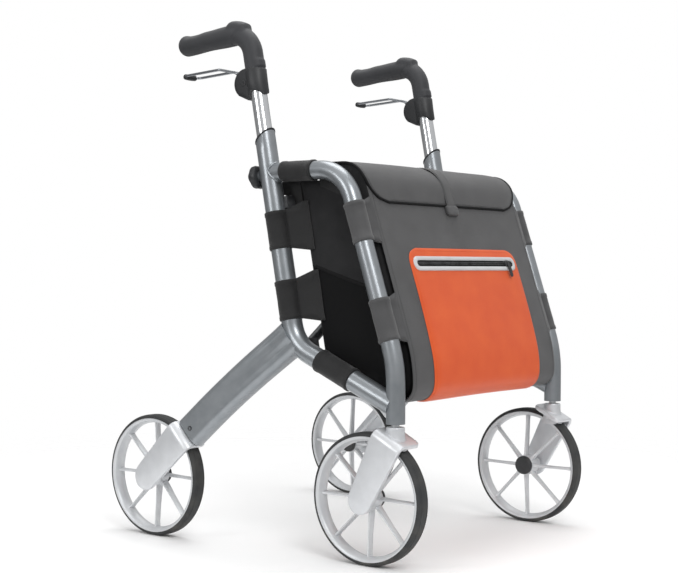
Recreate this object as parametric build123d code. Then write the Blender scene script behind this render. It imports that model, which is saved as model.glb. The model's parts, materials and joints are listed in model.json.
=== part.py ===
from build123d import *
import os
from math import atan2, cos, degrees, hypot, radians, sin, tan

# Rollator walker with a shopping bag. Millimetres, +Z up, front towards -Y, the user's right side at -X.
# Origin on the floor, midway between the side frames and midway between the front and rear axles.
# "forward" is the distance ahead of the origin, so y = -forward.

# ---- wheels and stance ----
wheelbase = 415.6
wheel_radius = 100.0
tyre_width = 25.0
tyre_depth = 5.6
tyre_shoulder = 4.5
tyre_chamfer = 1.3
rim_width = 24.0
rim_depth = 7.0
rim_waist = 2.0
waist_half = 3.0
hub_radius = 16.5
hub_inner_reach = 14.0
hub_outer_reach = 12.0
spoke_count = 8
spoke_thickness = 5.4
spoke_root = (-12.0, -1.0)
spoke_tip = (-6.0, 3.0)
spoke_overlap = 3.0
bearing_radius = 11.0
bearing_width = 7.0
bearing_lip = 2.0
axle_radius = 6.0
axle_cap_radius = 16.0
axle_cap_height = 7.0
rear_splay = 34.5
axle_boss_wall = 5.0
axle_socket_depth = 5.0
cap_edge = 4.5

# ---- side frames ----
frame_half_width = 234.0
post_wall = 2.0
post_lean = 11.09
post_foot_forward = 61.8
post_foot_height = 324.6
post_top_height = 655.0
rail_end_height = 240.2
main_bend = 60.0
hoop_radius = 14.3
hoop_wall = 2.0
hoop_height = 595.0
hoop_corner_forward = 157.9
hoop_knee_height = 301.4
hoop_top_bend = 65.0
hoop_low_bend = 200.0
hoop_foot_height = 215.0
caster_trail = 47.2
leg_depth = 55.0
leg_width = 31.0
leg_corner = 13.5
leg_wall = 2.5
leg_root_forward = 45.0
leg_root_height = 326.0
leg_straight = 217.7
leg_knee_bend = 420.0
leg_angle = 43.5

# ---- forks ----
crown_gap = 3.0
crown_thickness = 6.5
crown_width = 54.0
blade_thickness = 8.0
rear_blade_reach = 28.5
rear_blade_tip = 23.0
front_blade_reach = 27.0
fork_edge = 3.0
crown_corner = 9.0
neck_length = 34.0
front_blade_tip = 21.0
front_blade_angle = 62.4
neck_radius = 13.9
seal_height = 4.0
stem_radius = 6.0
stem_length = 62.0
caster_bearing_width = 10.0
caster_bearing_step = 42.0
plug_length = 30.0
plug_gap = 0.2
leg_screw_radius = 4.0
leg_screw_up = 13.0
leg_screw_length = 9.0
leg_screw_socket = 2.0

# ---- brake shoe ----
shoe_width = 18.0
shoe_length = 24.0
shoe_depth = 4.6
shoe_gap = 1.9
shoe_stem_radius = 4.0
shoe_stem_length = 30.0

# ---- handles ----
height_tube_radius = 13.0
height_tube_wall = 1.5
height_tube_inside = 200.0
bush_wall = 1.5
bush_length = 40.0
bush_flange_height = 4.0
bush_flange_proud = 1.0
housing_bottom = 714.0
housing_top = 762.0
housing_wall = 3.2
hood_proud = 1.5
hood_height = 14.0
housing_roof = 8.0
housing_disc_radius = 24.0
housing_disc_width = 24.0
housing_disc_forward = -36.0
housing_disc_height = 738.0
housing_disc_edge = 4.0
grip_radius = 17.0
grip_crest_height = 821.0
grip_end_forward = -178.0
grip_end_height = 811.0
grip_end_radius = 14.0
grip_bend = 40.0
spigot_radius = 11.0
spigot_rise = 14.0
lever_wire_radius = 2.2
lever_half_width = 17.0
lever_end_forward = -168.0
lever_end_height = 759.0
lever_pivot_forward = -47.0
lever_pivot_height = 739.0
lever_root_forward = -62.0
lever_root_height = 757.5
lever_hub_radius = 8.0
lever_hub_width = 8.0
lever_arm_half = 4.5
lever_lift = 15.0
lever_slot_spread = 34.0
lever_slot_reach = 60.0
lever_tip_radius = 4.2
lever_tip_length = 22.0
lever_tip_edge = 1.6
lever_root_half = 2.0
lever_shoulder_forward = -86.0
lever_shoulder_height = 763.0
lever_root_bend = 10.0
lever_end_bend = 13.0
lever_slot_gap = 1.2
knob_height = 593.0
knob_radius = 21.0
knob_thickness = 13.0
knob_standoff = 6.0
knob_lobes = 6
knob_stem_radius = 4.0
knob_boss_radius = 9.0
knob_lobe_radius = 6.0
knob_edge = 1.5

# ---- folding cross brace ----
brace_low_height = 318.0
brace_pivot_inset = 30.0
brace_rise = 240.0
bar_radius = 8.0
bar_rear_offset = -7.0
bar_front_offset = 13.0
bar_end = 9.0
bar_edge = 3.0
pivot_pin_radius = 4.0
block_height = 28.0
block_reach = 38.0
block_depth = 14.0
block_edge = 4.0
block_inset = 10.0
saddle_depth = 20.0
saddle_wall = 3.0
bolt_head_radius = 8.0
nut_radius = 7.0
head_height = 2.0

# ---- bag ----
fabric = 3.0
panel_gap = 1.8
front_panel_offset = 15.5
bag_rim_height = 586.0
base_rear_gap = 6.0
side_notch = 7.0
side_steps = 48
front_rim_height = 573.0
bag_back_offset = 32.0
bag_bottom_radius = 28.0
bag_bottom_corner = 230.1
lid_thickness = 3.2
lid_inset = 18.0
lid_top_height = 607.4
lid_rear_forward = 44.0
lid_front_low = 546.0
lid_bend = 46.0
strap_width = 25.0
strap_thickness = 2.0
strap_rear_forward = 78.0
strap_below_lid = 3.0
strap_hook_width = 32.0
strap_hook_length = 16.0
strap_hook_depth = 5.0
strap_hook_edge = 1.5
pocket_half_width = 158.0
pocket_top = 476.0
pocket_thickness = 1.4
pocket_under = 60.0
zip_half_length = 148.0
zip_height_on_panel = 451.0
zip_band = 24.0
zip_thickness = 1.6
zip_corner = 11.9
slider_x = 118.0
slider_width = 8.0
slider_length = 24.0
slider_thickness = 3.0
slider_tab_thickness = 2.0
slider_height = 10.0
slider_corner = 2.0
sleeve_thickness = 1.7
hoop_wraps_high = (483.0, 543.0)
low_wrap_gap = 4.0
low_wrap_rise = 62.0
post_sleeves = [(473.0, 532.0), (363.0, 424.0)]
top_sleeve = (37.0, 100.0)
rail_sleeve = (112.0, 176.0)

# ---- clearances ----
run_fit = 0.05
body_gap = 0.4
side_gap = 0.5
seam_gap = 0.8
beyond = 200.0
bite = 1.0

# ---- worked out from the above ----
half_base = wheelbase / 2
caster_forward = half_base + caster_trail
rear_track_half = frame_half_width + rear_splay
rear_blade_outer = rear_track_half + rear_blade_reach
front_blade_outer = frame_half_width + front_blade_reach
brace_pivot_half = frame_half_width - brace_pivot_inset
lid_half_width = frame_half_width - lid_inset
post_radius = height_tube_radius + bush_wall + post_wall
housing_radius = height_tube_radius + housing_wall
panel_half_width = frame_half_width - post_radius - sleeve_thickness - panel_gap
hoop_slant = degrees(atan2(caster_forward - hoop_corner_forward, hoop_height - hoop_knee_height))
leg_knee_forward = leg_straight * cos(radians(leg_angle)) - half_base
leg_knee_height = leg_straight * sin(radians(leg_angle)) + wheel_radius
rim_radius = wheel_radius - tyre_depth
barrel_radius = rim_radius - rim_depth
lean = tan(radians(post_lean))
rail_drop = degrees(atan2(post_foot_height - rail_end_height, caster_forward - post_foot_forward))
drop = tan(radians(rail_drop))
slant = tan(radians(hoop_slant))
low_bend_top = hoop_knee_height + hoop_low_bend * tan(radians(hoop_slant / 2)) * cos(radians(hoop_slant))
low_wrap_start = low_bend_top + low_wrap_gap
hoop_sleeves = [hoop_wraps_high, (low_wrap_start, low_wrap_start + low_wrap_rise)]
post_axis = Vector(0, sin(radians(post_lean)), cos(radians(post_lean)))
brace_normal = Vector(0, -cos(radians(post_lean)), sin(radians(post_lean)))


def at(forward, height, x=-frame_half_width):
    return Vector(x, -forward, height)


def post_forward(height):
    return post_foot_forward - lean * (height - post_foot_height)


def rail_height(forward):
    return post_foot_height - drop * (forward - post_foot_forward)


def hoop_forward(height):
    return hoop_corner_forward + slant * (hoop_height - height)


def post_point(height, x=-frame_half_width):
    return at(post_forward(height), height, x)


hub_rear = Vector(-rear_track_half, half_base, wheel_radius)
hub_front = Vector(-frame_half_width, -half_base, wheel_radius)
leg_dir = Vector(0, -cos(radians(leg_angle)), sin(radians(leg_angle)))
fork_dir = Vector(0, -cos(radians(front_blade_angle)), sin(radians(front_blade_angle)))
crown_low = wheel_radius + crown_gap
crown_high = crown_low + crown_thickness
brace_span = 2 * brace_pivot_half
bar_length = hypot(brace_span, brace_rise)
bar_angle = degrees(atan2(brace_rise, brace_span))
brace_foot = Vector(0, -post_forward(brace_low_height), brace_low_height)
brace_plane = Plane(origin=brace_foot, x_dir=(1, 0, 0), z_dir=brace_normal)


def swept(section, points, radii):
    path = FilletPolyline(*points, radius=radii) if radii else Polyline(*points)
    start = Plane(origin=path @ 0, x_dir=(1, 0, 0), z_dir=path % 0)
    return sweep(start * section, path=path)


def ring(outer, inner):
    return Circle(outer) - Circle(inner)


def rod(start, end, radius, inner=0.0):
    run = Vector(end) - Vector(start)
    section = ring(radius, inner) if inner else Circle(radius)
    return extrude(Plane(origin=start, z_dir=run) * section, amount=run.length)


def turned(outline, centre):
    """A solid turned about a line along X through centre; outline points are (outward, radius)."""
    plane = Plane(origin=centre, x_dir=(-1, 0, 0), z_dir=(0, 1, 0))
    return revolve(plane * make_face(Polyline(*outline, close=True)), axis=Axis(centre, (-1, 0, 0)))


# ---------------------------------------------------------------- side frame
def main_tube_path():
    foot = at(post_foot_forward, post_foot_height)
    rail_end = at(caster_forward, rail_height(caster_forward))
    return [post_point(post_top_height), foot, rail_end]


def hoop_path():
    corner = at(hoop_corner_forward, hoop_height)
    low = at(caster_forward, hoop_knee_height)
    return [post_point(hoop_height), corner, low, at(caster_forward, hoop_foot_height)]


def hoop_outside():
    return swept(Circle(hoop_radius), hoop_path(), [hoop_top_bend, hoop_low_bend])


def post_core():
    low = post_point(post_foot_height + main_bend)
    return rod(post_point(post_top_height), low, post_radius - post_wall)


def post_outside():
    return swept(Circle(post_radius), main_tube_path(), [main_bend])


def main_tube():
    solid = swept(ring(post_radius, post_radius - post_wall), main_tube_path(), [main_bend])
    boss_start = post_point(knob_height) - brace_normal * (post_radius - post_wall)
    boss = rod(boss_start, boss_start - brace_normal * (post_wall + knob_standoff - bite), knob_boss_radius)
    stem_end = post_point(knob_height) - brace_normal * beyond
    stem_hole = rod(post_point(knob_height), stem_end, knob_stem_radius + run_fit)
    return solid + (boss - post_core()) - stem_hole - hoop_outside()


def front_hoop():
    solid = swept(ring(hoop_radius, hoop_radius - hoop_wall), hoop_path(), [hoop_top_bend, hoop_low_bend])
    return solid - post_core()


def leg_section(shrink=0.0):
    width = leg_width - 2 * shrink
    depth = leg_depth - 2 * shrink
    return RectangleRounded(width, depth, leg_corner - shrink)


def leg_points():
    end = hub_rear + leg_dir * crown_high
    root = at(leg_root_forward, leg_root_height)
    knee_share = (leg_root_forward - leg_knee_forward) / (leg_root_forward + end.Y)
    knee_x = -frame_half_width + knee_share * (end.X + frame_half_width)
    return [end, at(leg_knee_forward, leg_knee_height, knee_x), root]


def leg_run(shrink=0.0):
    points = leg_points()
    path = FilletPolyline(*points, radius=leg_knee_bend)
    start = Plane(origin=path @ 0, x_dir=(1, 0, 0), z_dir=path % 0)
    return sweep(start * leg_section(shrink), path=path)


def leg_screw_point():
    return hub_rear + leg_dir * (crown_high + leg_screw_up) - Vector(leg_width / 2 + bite, 0, 0)


def rear_leg():
    outer = leg_run()
    inner = leg_run(leg_wall)
    below = Box(beyond, beyond, beyond, align=(Align.CENTER, Align.CENTER, Align.MAX))
    face_cut = Plane(origin=hub_rear + leg_dir * crown_high, z_dir=leg_dir) * below
    return outer - inner - post_outside() - face_cut - leg_screw_hole()


def leg_screw_hole():
    start = leg_screw_point()
    return rod(start, start + Vector(leg_screw_length + leg_wall, 0, 0), leg_screw_radius)


def blade(hub, direction, outer_x, tip_radius):
    """A fork's side blade, from its crown down to its rounded tip at the hub."""
    plane = Plane(origin=Vector(-outer_x, hub.Y, hub.Z), x_dir=direction, z_dir=(1, 0, 0))
    crown_line = Pos(crown_high - bite / 2, 0) * Rectangle(bite, crown_width)
    outline = make_hull((crown_line + Circle(tip_radius)).edges())
    return extrude(plane * outline, amount=blade_thickness)


def crown(hub, direction, outer_x, inner_x):
    plane = Plane(origin=Vector(0, hub.Y, hub.Z) + direction * crown_low, x_dir=(1, 0, 0), z_dir=direction)
    outline = RectangleRounded(outer_x - inner_x, crown_width, crown_corner)
    outline = Pos(-(outer_x + inner_x) / 2, 0) * outline
    return extrude(plane * outline, amount=crown_thickness)


def axle_boss(hub, outer_x):
    inner = Vector(hub.X - hub_outer_reach - side_gap, hub.Y, hub.Z)
    return rod(Vector(-outer_x + blade_thickness - bite, hub.Y, hub.Z), inner, axle_radius + axle_boss_wall)


def axle_socket(hub, outer_x):
    start = Vector(-outer_x + blade_thickness - axle_socket_depth, hub.Y, hub.Z)
    return rod(start, hub, axle_radius)


def shoe_plane():
    return Plane(origin=hub_rear, x_dir=(1, 0, 0), z_dir=leg_dir)


def rear_fork():
    outer_x = rear_blade_outer
    inner_x = rear_track_half - leg_width / 2
    solid = blade(hub_rear, leg_dir, outer_x, rear_blade_tip) + crown(hub_rear, leg_dir, outer_x, inner_x)
    edges = solid.edges().filter_by(lambda e: abs(e.center().X + outer_x) < bite / 4)
    solid = fillet(edges, fork_edge)
    plug = shoe_plane() * Pos(0, 0, crown_high - bite / 2) * leg_section(leg_wall)
    plug = extrude(plug, amount=plug_length) - (leg_run() - leg_run(leg_wall + plug_gap))
    solid += plug.solids().sort_by(SortBy.VOLUME)[-1]
    solid += axle_boss(hub_rear, outer_x)
    solid -= axle_socket(hub_rear, outer_x)
    room = 2 * side_gap
    window = Box(shoe_width + room, shoe_length + room, crown_thickness + 2 * bite)
    window = Pos(0, 0, crown_low + crown_thickness / 2) * window
    hole_length = crown_thickness + plug_length + 4 * bite
    stem_hole = Cylinder(shoe_stem_radius + run_fit, hole_length)
    stem_hole = Pos(0, 0, crown_low - bite + hole_length / 2) * stem_hole
    return solid - shoe_plane() * window - shoe_plane() * stem_hole - leg_screw_hole()


def brake_shoe():
    pad_low = wheel_radius + shoe_gap
    pad = Pos(0, 0, pad_low + shoe_depth / 2) * Box(shoe_width, shoe_length, shoe_depth)
    stem_low = pad_low + shoe_depth - bite / 2
    stem = Pos(0, 0, stem_low + shoe_stem_length / 2) * Cylinder(shoe_stem_radius, shoe_stem_length)
    return shoe_plane() * (pad + stem)


def caster_fork():
    foot = Vector(-frame_half_width, -caster_forward, hoop_foot_height)
    neck_top = foot - Vector(0, 0, seal_height + body_gap)
    outer_x = front_blade_outer
    inner_x = frame_half_width - crown_width / 2
    solid = blade(hub_front, fork_dir, outer_x, front_blade_tip)
    solid += crown(hub_front, fork_dir, outer_x, inner_x)
    edges = solid.edges().filter_by(lambda e: abs(e.center().X + outer_x) < bite / 4)
    solid = fillet(edges, fork_edge)
    under = Plane(origin=hub_front + fork_dir * crown_low, z_dir=fork_dir)
    neck = rod(neck_top - Vector(0, 0, neck_length), neck_top, neck_radius)
    below_crown = under * Box(beyond, beyond, beyond, align=(Align.CENTER, Align.CENTER, Align.MAX))
    solid += neck - below_crown
    solid += rod(neck_top - Vector(0, 0, neck_radius), neck_top + Vector(0, 0, stem_length), stem_radius)
    solid += axle_boss(hub_front, outer_x)
    return solid - axle_socket(hub_front, outer_x)


def caster_seal():
    foot = Vector(-frame_half_width, -caster_forward, hoop_foot_height)
    return rod(foot - Vector(0, 0, seal_height), foot, hoop_radius, stem_radius + body_gap)


def caster_bearings():
    foot = Vector(-frame_half_width, -caster_forward, hoop_foot_height)
    width = Vector(0, 0, caster_bearing_width)
    step = Vector(0, 0, caster_bearing_step)
    outer = hoop_radius - hoop_wall
    bore = stem_radius + run_fit
    return [rod(foot, foot + width, outer, bore), rod(foot + step, foot + step + width, outer, bore)]


def post_bush():
    top = post_point(post_top_height)
    bore = height_tube_radius + run_fit
    liner = rod(top - post_axis * bush_length, top, post_radius - post_wall, bore)
    flange = rod(top, top + post_axis * bush_flange_height, post_radius + bush_flange_proud, bore)
    return liner + flange


# ---------------------------------------------------------------- wheels
def tyre(hub):
    half = tyre_width / 2
    low = half - tyre_shoulder
    outline = [(-half, rim_radius), (half, rim_radius), (half, wheel_radius - tyre_shoulder)]
    chamfer_radius = wheel_radius - tyre_chamfer
    outline += [(half - tyre_chamfer, chamfer_radius), (low, wheel_radius), (-low, wheel_radius)]
    outline += [(-half + tyre_chamfer, chamfer_radius), (-half, wheel_radius - tyre_shoulder)]
    return turned(outline, hub)


def rim(hub):
    half = rim_width / 2
    waist = barrel_radius - rim_waist
    outline = [(-half, rim_radius), (half, rim_radius), (half, barrel_radius)]
    outline += [(waist_half, waist), (-waist_half, waist), (-half, barrel_radius)]
    solid = turned(outline, hub)
    hub_start = hub + Vector(hub_inner_reach, 0, 0)
    solid += rod(hub_start, hub - Vector(hub_outer_reach, 0, 0), hub_radius)
    for i in range(spoke_count):
        solid += wheel_turn(hub, 360 / spoke_count * i, spoke(hub))
    bore = rod(hub_start, hub - Vector(hub_outer_reach, 0, 0), bearing_radius - bearing_lip)
    inner_seat = rod(hub_start, hub_start - Vector(bearing_width, 0, 0), bearing_radius)
    outer_end = hub - Vector(hub_outer_reach, 0, 0)
    outer_seat = rod(outer_end, outer_end + Vector(bearing_width, 0, 0), bearing_radius)
    return solid - bore - inner_seat - outer_seat


def wheel_turn(hub, angle, solid):
    return solid.rotate(Axis(hub, (1, 0, 0)), angle)


def spoke(hub):
    """A thin blade, deep along the axle, that leans from the hub's inner end to the middle of the barrel."""
    root = hub_radius - spoke_overlap
    tip = barrel_radius - rim_waist + bite
    outline = [(spoke_root[0], root), (spoke_root[1], root), (spoke_tip[1], tip), (spoke_tip[0], tip)]
    plane = Plane(origin=hub - Vector(0, spoke_thickness / 2, 0), x_dir=(-1, 0, 0), z_dir=(0, 1, 0))
    return extrude(plane * make_face(Polyline(*outline, close=True)), amount=spoke_thickness)


def wheel_bearings(hub):
    inner = hub + Vector(hub_inner_reach, 0, 0)
    outer = hub - Vector(hub_outer_reach, 0, 0)
    step = Vector(bearing_width, 0, 0)
    bore = axle_radius + run_fit
    return [rod(inner, inner - step, bearing_radius, bore), rod(outer, outer + step, bearing_radius, bore)]


def axle(hub, outer_x):
    cap_face = hub + Vector(hub_inner_reach + body_gap, 0, 0)
    start = Vector(-outer_x + blade_thickness - axle_socket_depth, hub.Y, hub.Z)
    shaft = rod(start, cap_face + Vector(bite, 0, 0), axle_radius)
    cap = rod(cap_face, cap_face + Vector(axle_cap_height, 0, 0), axle_cap_radius)
    rounded = [e for e in cap.edges() if e.center().X > cap_face.X + axle_cap_height / 2]
    return shaft + fillet(rounded, cap_edge)


# ---------------------------------------------------------------- handle
def height_tube():
    top = post_point(post_top_height)
    end = post_point(housing_top) - post_axis * housing_roof
    bore = height_tube_radius - height_tube_wall
    return rod(top - post_axis * height_tube_inside, end, height_tube_radius, bore)


def lever_pivot():
    return at(lever_pivot_forward, lever_pivot_height)


def lever_root():
    return at(lever_root_forward, lever_root_height)


def brake_housing():
    low = post_point(housing_bottom)
    high = post_point(housing_top)
    sleeve = rod(low, high, housing_radius)
    centre = at(housing_disc_forward, housing_disc_height)
    half = Vector(housing_disc_width / 2, 0, 0)
    disc = rod(centre - half, centre + half, housing_disc_radius)
    disc = fillet(disc.edges().filter_by(GeomType.CIRCLE), housing_disc_edge)
    hood = rod(post_point(housing_top - hood_height), high, grip_radius + hood_proud)
    solid = sleeve + disc + hood
    spigot = rod(high - post_axis * bite / 2, high + post_axis * spigot_rise, spigot_radius)
    above = Box(beyond, beyond, beyond, align=(Align.CENTER, Align.CENTER, Align.MIN))
    top_cut = Plane(origin=high, z_dir=post_axis) * above
    solid = solid - top_cut
    tube_bore = rod(low - post_axis * bite, high - post_axis * housing_roof, height_tube_radius)
    return solid - tube_bore + spigot - lever_slot()


def lever_slot():
    pivot = lever_pivot()
    half = Vector(lever_hub_width / 2 + body_gap, 0, 0)
    round_slot = rod(pivot - half, pivot + half, lever_hub_radius + lever_slot_gap)
    rise = degrees(atan2(lever_root_height - lever_pivot_height, lever_pivot_forward - lever_root_forward))
    low_side = pivot + lever_way(rise - lever_slot_spread)
    wedge = [pivot, low_side, pivot + lever_way(rise + lever_lift + lever_slot_spread)]
    face = make_face(Polyline(*[w - half for w in wedge], close=True))
    return round_slot + extrude(face, amount=2 * half.X, dir=(1, 0, 0))


def lever_way(angle):
    return Vector(0, lever_slot_reach * cos(radians(angle)), lever_slot_reach * sin(radians(angle)))


def grip():
    start = post_point(housing_top)
    corner = post_point(grip_crest_height)
    end = at(grip_end_forward, grip_end_height)
    solid = swept(Circle(grip_radius), [start, corner, end], [grip_bend])
    tip = Pos(end) * Sphere(grip_end_radius)
    below = Box(beyond / 2, beyond / 2, beyond / 4, align=(Align.CENTER, Align.CENTER, Align.MAX))
    low = Plane(origin=start, z_dir=post_axis) * below
    socket = rod(start - post_axis, start + post_axis * (spigot_rise + bite), spigot_radius)
    return solid + tip - low - socket


def brake_lever():
    root = lever_root()
    pivot = lever_pivot()
    half = Vector(lever_hub_width / 2, 0, 0)
    hub = rod(pivot - half, pivot + half, lever_hub_radius)
    across = (root - pivot).normalized().cross(Vector(1, 0, 0)) * lever_arm_half
    corners = [pivot + across, root + across, root - across, pivot - across]
    outline = make_face(Polyline(*[p - half for p in corners], close=True))
    arm = extrude(outline, amount=lever_hub_width, dir=(1, 0, 0))
    side = Vector(lever_half_width, 0, 0)
    near = Vector(lever_root_half, 0, 0)
    shoulder = at(lever_shoulder_forward, lever_shoulder_height)
    end = at(lever_end_forward, lever_end_height)
    points = [root - near, shoulder - side, end - side, end + side, shoulder + side, root + near]
    path = FilletPolyline(*points, radius=[lever_root_bend, lever_end_bend, lever_end_bend, lever_root_bend])
    wire = sweep(Plane(origin=path @ 0, z_dir=path % 0) * Circle(lever_wire_radius), path=path)
    tip_half = Vector(lever_tip_length / 2, 0, 0)
    tip = rod(end - tip_half, end + tip_half, lever_tip_radius)
    tip = fillet(tip.edges().filter_by(GeomType.CIRCLE), lever_tip_edge)
    return hub + arm + wire + tip


def height_knob():
    base = post_point(knob_height) - brace_normal * (post_radius + knob_standoff)
    plane = Plane(origin=base, x_dir=(1, 0, 0), z_dir=-brace_normal)
    outline = Circle(knob_radius - knob_lobe_radius / 2)
    for i in range(knob_lobes):
        lobe = Pos(knob_radius - knob_lobe_radius, 0) * Circle(knob_lobe_radius)
        outline += Rot(0, 0, 360 / knob_lobes * i) * lobe
    head = extrude(plane * outline, amount=knob_thickness)
    head = fillet(head.faces().sort_by(Axis(base, -brace_normal))[-1].edges(), knob_edge)
    tip = post_point(knob_height) - brace_normal * (height_tube_radius + body_gap)
    return head + rod(tip, base, knob_stem_radius)


# ---------------------------------------------------------------- brace
def bar(offset, mirrored):
    """A cross bar from its low pivot at -x to its high end at +x, or the other way round when mirrored."""
    direction = Vector(cos(radians(bar_angle)), sin(radians(bar_angle)), 0)
    start = Vector(-brace_pivot_half, 0, offset) - direction * bar_end
    end = Vector(-brace_pivot_half, 0, offset) + direction * (bar_length + bar_end)
    solid = rod(start, end, bar_radius)
    solid = fillet(solid.edges().filter_by(GeomType.CIRCLE), bar_edge)
    return mirror(solid, about=Plane.YZ) if mirrored else solid


def brace_bar_rear():
    pivot = Pos(-brace_pivot_half, 0, bar_rear_offset) * Cylinder(pivot_pin_radius + run_fit, 4 * bar_radius)
    centre = Pos(0, brace_rise / 2, bar_rear_offset) * Cylinder(pivot_pin_radius, 4 * bar_radius)
    return brace_plane * (bar(bar_rear_offset, False) - pivot - centre)


def brace_bar_front():
    pivot = Pos(brace_pivot_half, 0, bar_front_offset) * Cylinder(pivot_pin_radius + run_fit, 4 * bar_radius)
    centre = Pos(0, brace_rise / 2, bar_front_offset) * Cylinder(pivot_pin_radius + run_fit, 4 * bar_radius)
    return brace_plane * (bar(bar_front_offset, True) - pivot - centre)


def centre_bolt():
    low = bar_rear_offset - bar_radius
    high = bar_front_offset + bar_radius
    middle = Vector(0, brace_rise / 2, 0)
    up = Vector(0, 0, 1)
    head_low = high + body_gap
    shank = rod(middle + up * (low - bite), middle + up * (head_low + bite), pivot_pin_radius)
    nut = rod(middle + up * (low - 2 * head_height), middle + up * low, nut_radius)
    head = rod(middle + up * head_low, middle + up * (head_low + 2 * head_height), bolt_head_radius)
    washer_high = bar_front_offset - bar_radius - body_gap
    washer = rod(middle + up * (low + 2 * bar_radius), middle + up * washer_high, bolt_head_radius)
    return brace_plane * (shank + nut + head + washer)


def pivot_block(bar_offset, side):
    """The plastic block on the tube's inner face that carries one bar's low pivot pin."""
    sign = 1 if side > 0 else -1
    bar_low = bar_offset - bar_radius
    bar_high = bar_offset + bar_radius
    ahead = bar_offset < 0
    near = bar_high + body_gap if ahead else bar_low - body_gap
    middle = near + block_depth / 2 if ahead else near - block_depth / 2
    across = sign * (brace_pivot_half - block_inset + block_reach / 2)
    box = Pos(across, 0, middle) * Box(block_reach, block_height, block_depth)
    box = fillet(box.edges().filter_by(Axis.Z), block_edge)
    head_start = bar_low - body_gap if ahead else bar_high + body_gap
    head_end = head_start - head_height if ahead else head_start + head_height
    place = Vector(sign * brace_pivot_half, 0, 0)
    up = Vector(0, 0, 1)
    pin = rod(place + up * middle, place + up * head_end, pivot_pin_radius)
    head = rod(place + up * head_start, place + up * head_end, nut_radius)
    return brace_plane * (box + pin + head)


def saddle(bar_offset, side):
    """The plastic cradle on the post that the other bar's high end drops into."""
    sign = 1 if side > 0 else -1
    middle = Vector(sign * brace_pivot_half, brace_rise, bar_offset)
    across = sign * (brace_pivot_half - block_inset + block_reach / 2)
    centre = Vector(across, brace_rise - saddle_depth / 2, bar_offset)
    box = Pos(centre) * Box(block_reach, saddle_depth, 2 * (bar_radius + saddle_wall))
    box = fillet(box.edges().filter_by(Axis.Z), saddle_wall)
    run = Vector(sign * cos(radians(bar_angle)), sin(radians(bar_angle)), 0) * 2 * block_reach
    channel = rod(middle - run, middle + run, bar_radius + body_gap)
    reach = 2 * block_reach
    open_side = Box(2 * reach, reach, reach, align=(Align.CENTER, Align.MIN, Align.CENTER))
    above = Pos(middle) * Rot(0, 0, sign * bar_angle) * open_side
    return brace_plane * (box - channel - above)


def brace_mounts(side):
    sign = 1 if side > 0 else -1
    tube = post_outside() if sign < 0 else mirror(post_outside(), about=Plane.YZ)
    low_bar = bar_rear_offset if sign < 0 else bar_front_offset
    high_bar = bar_front_offset if sign < 0 else bar_rear_offset
    leg = leg_run() if sign < 0 else mirror(leg_run(), about=Plane.YZ)
    block = pivot_block(low_bar, sign) - tube - leg
    cradle = saddle(high_bar, sign) - tube
    return [block, cradle]


# ---------------------------------------------------------------- bag
def panel_path(offset, top, low):
    """Side-view points of a fabric run in front of the hoops: down the slant, then straight down to low."""
    front = caster_forward + offset
    shift = offset / cos(radians(hoop_slant))
    knee = hoop_height - (front - hoop_corner_forward - shift) / slant
    return [at(hoop_forward(top) + shift, top, 0), at(front, knee, 0), at(front, low, 0)]


def strip(points, radii, half_width, thickness):
    return swept(Rectangle(2 * half_width, thickness), points, radii)


def base_height(forward, below=0.0):
    """Height of the bag's sloping base, or of a run parallel to it that lies below it."""
    level = bag_bottom_corner + drop * (caster_forward + front_panel_offset - forward)
    return level - below / cos(radians(rail_drop))


def back_forward(height):
    return post_forward(height) + bag_back_offset / cos(radians(post_lean))


def base_rear_forward():
    """Where the base meets the back panel."""
    level_at_origin = base_height(0.0)
    at_that_level = back_forward(level_at_origin)
    return at_that_level / (1 - lean * drop)


def bag_front():
    points = panel_path(front_panel_offset, front_rim_height, bag_bottom_corner)
    rear = base_rear_forward() + base_rear_gap
    points.append(at(rear, base_height(rear), 0))
    return strip(points, [hoop_low_bend, bag_bottom_radius], panel_half_width, fabric)


def bag_back():
    low = base_height(base_rear_forward()) - bite
    run = [at(back_forward(low), low, 0), at(back_forward(bag_rim_height), bag_rim_height, 0)]
    return strip(run, [], panel_half_width, fabric)


def bag_sides():
    inset = fabric / 2 + seam_gap
    top = bag_rim_height - 2 * bite
    offset = front_panel_offset - inset
    points = panel_path(offset, front_rim_height, base_height(caster_forward + offset, -inset))
    rear_low = base_height(base_rear_forward(), -inset)
    rear = inset / cos(radians(post_lean))
    points.append(at(back_forward(rear_low) + rear, rear_low, 0))
    front_edge = FilletPolyline(*points, radius=[hoop_low_bend - inset, bag_bottom_radius - inset])
    shoulder = hoop_forward(top) + offset / cos(radians(hoop_slant)) - side_notch
    back_top = at(back_forward(top) + rear, top, 0)
    outline = [front_edge @ (i / side_steps) for i in range(side_steps + 1)]
    outline += [back_top, at(shoulder, top, 0)]
    side = Vector(fabric - panel_half_width, 0, 0)
    face = make_face(Polyline(*[point + side for point in outline], close=True))
    right = extrude(face, amount=-fabric, dir=(1, 0, 0))
    return [right, mirror(right, about=Plane.YZ)]


def lid_offset():
    return front_panel_offset + fabric / 2 + body_gap + lid_thickness / 2


def lid_points(offset, low):
    shift = offset / cos(radians(hoop_slant))
    top = lid_top_height + offset - lid_offset()
    corner = hoop_forward(top) + shift
    return [at(lid_rear_forward, top, 0), at(corner, top, 0), at(hoop_forward(low) + shift, low, 0)]


def lid():
    return strip(lid_points(lid_offset(), lid_front_low), [lid_bend], lid_half_width, lid_thickness)


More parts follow.
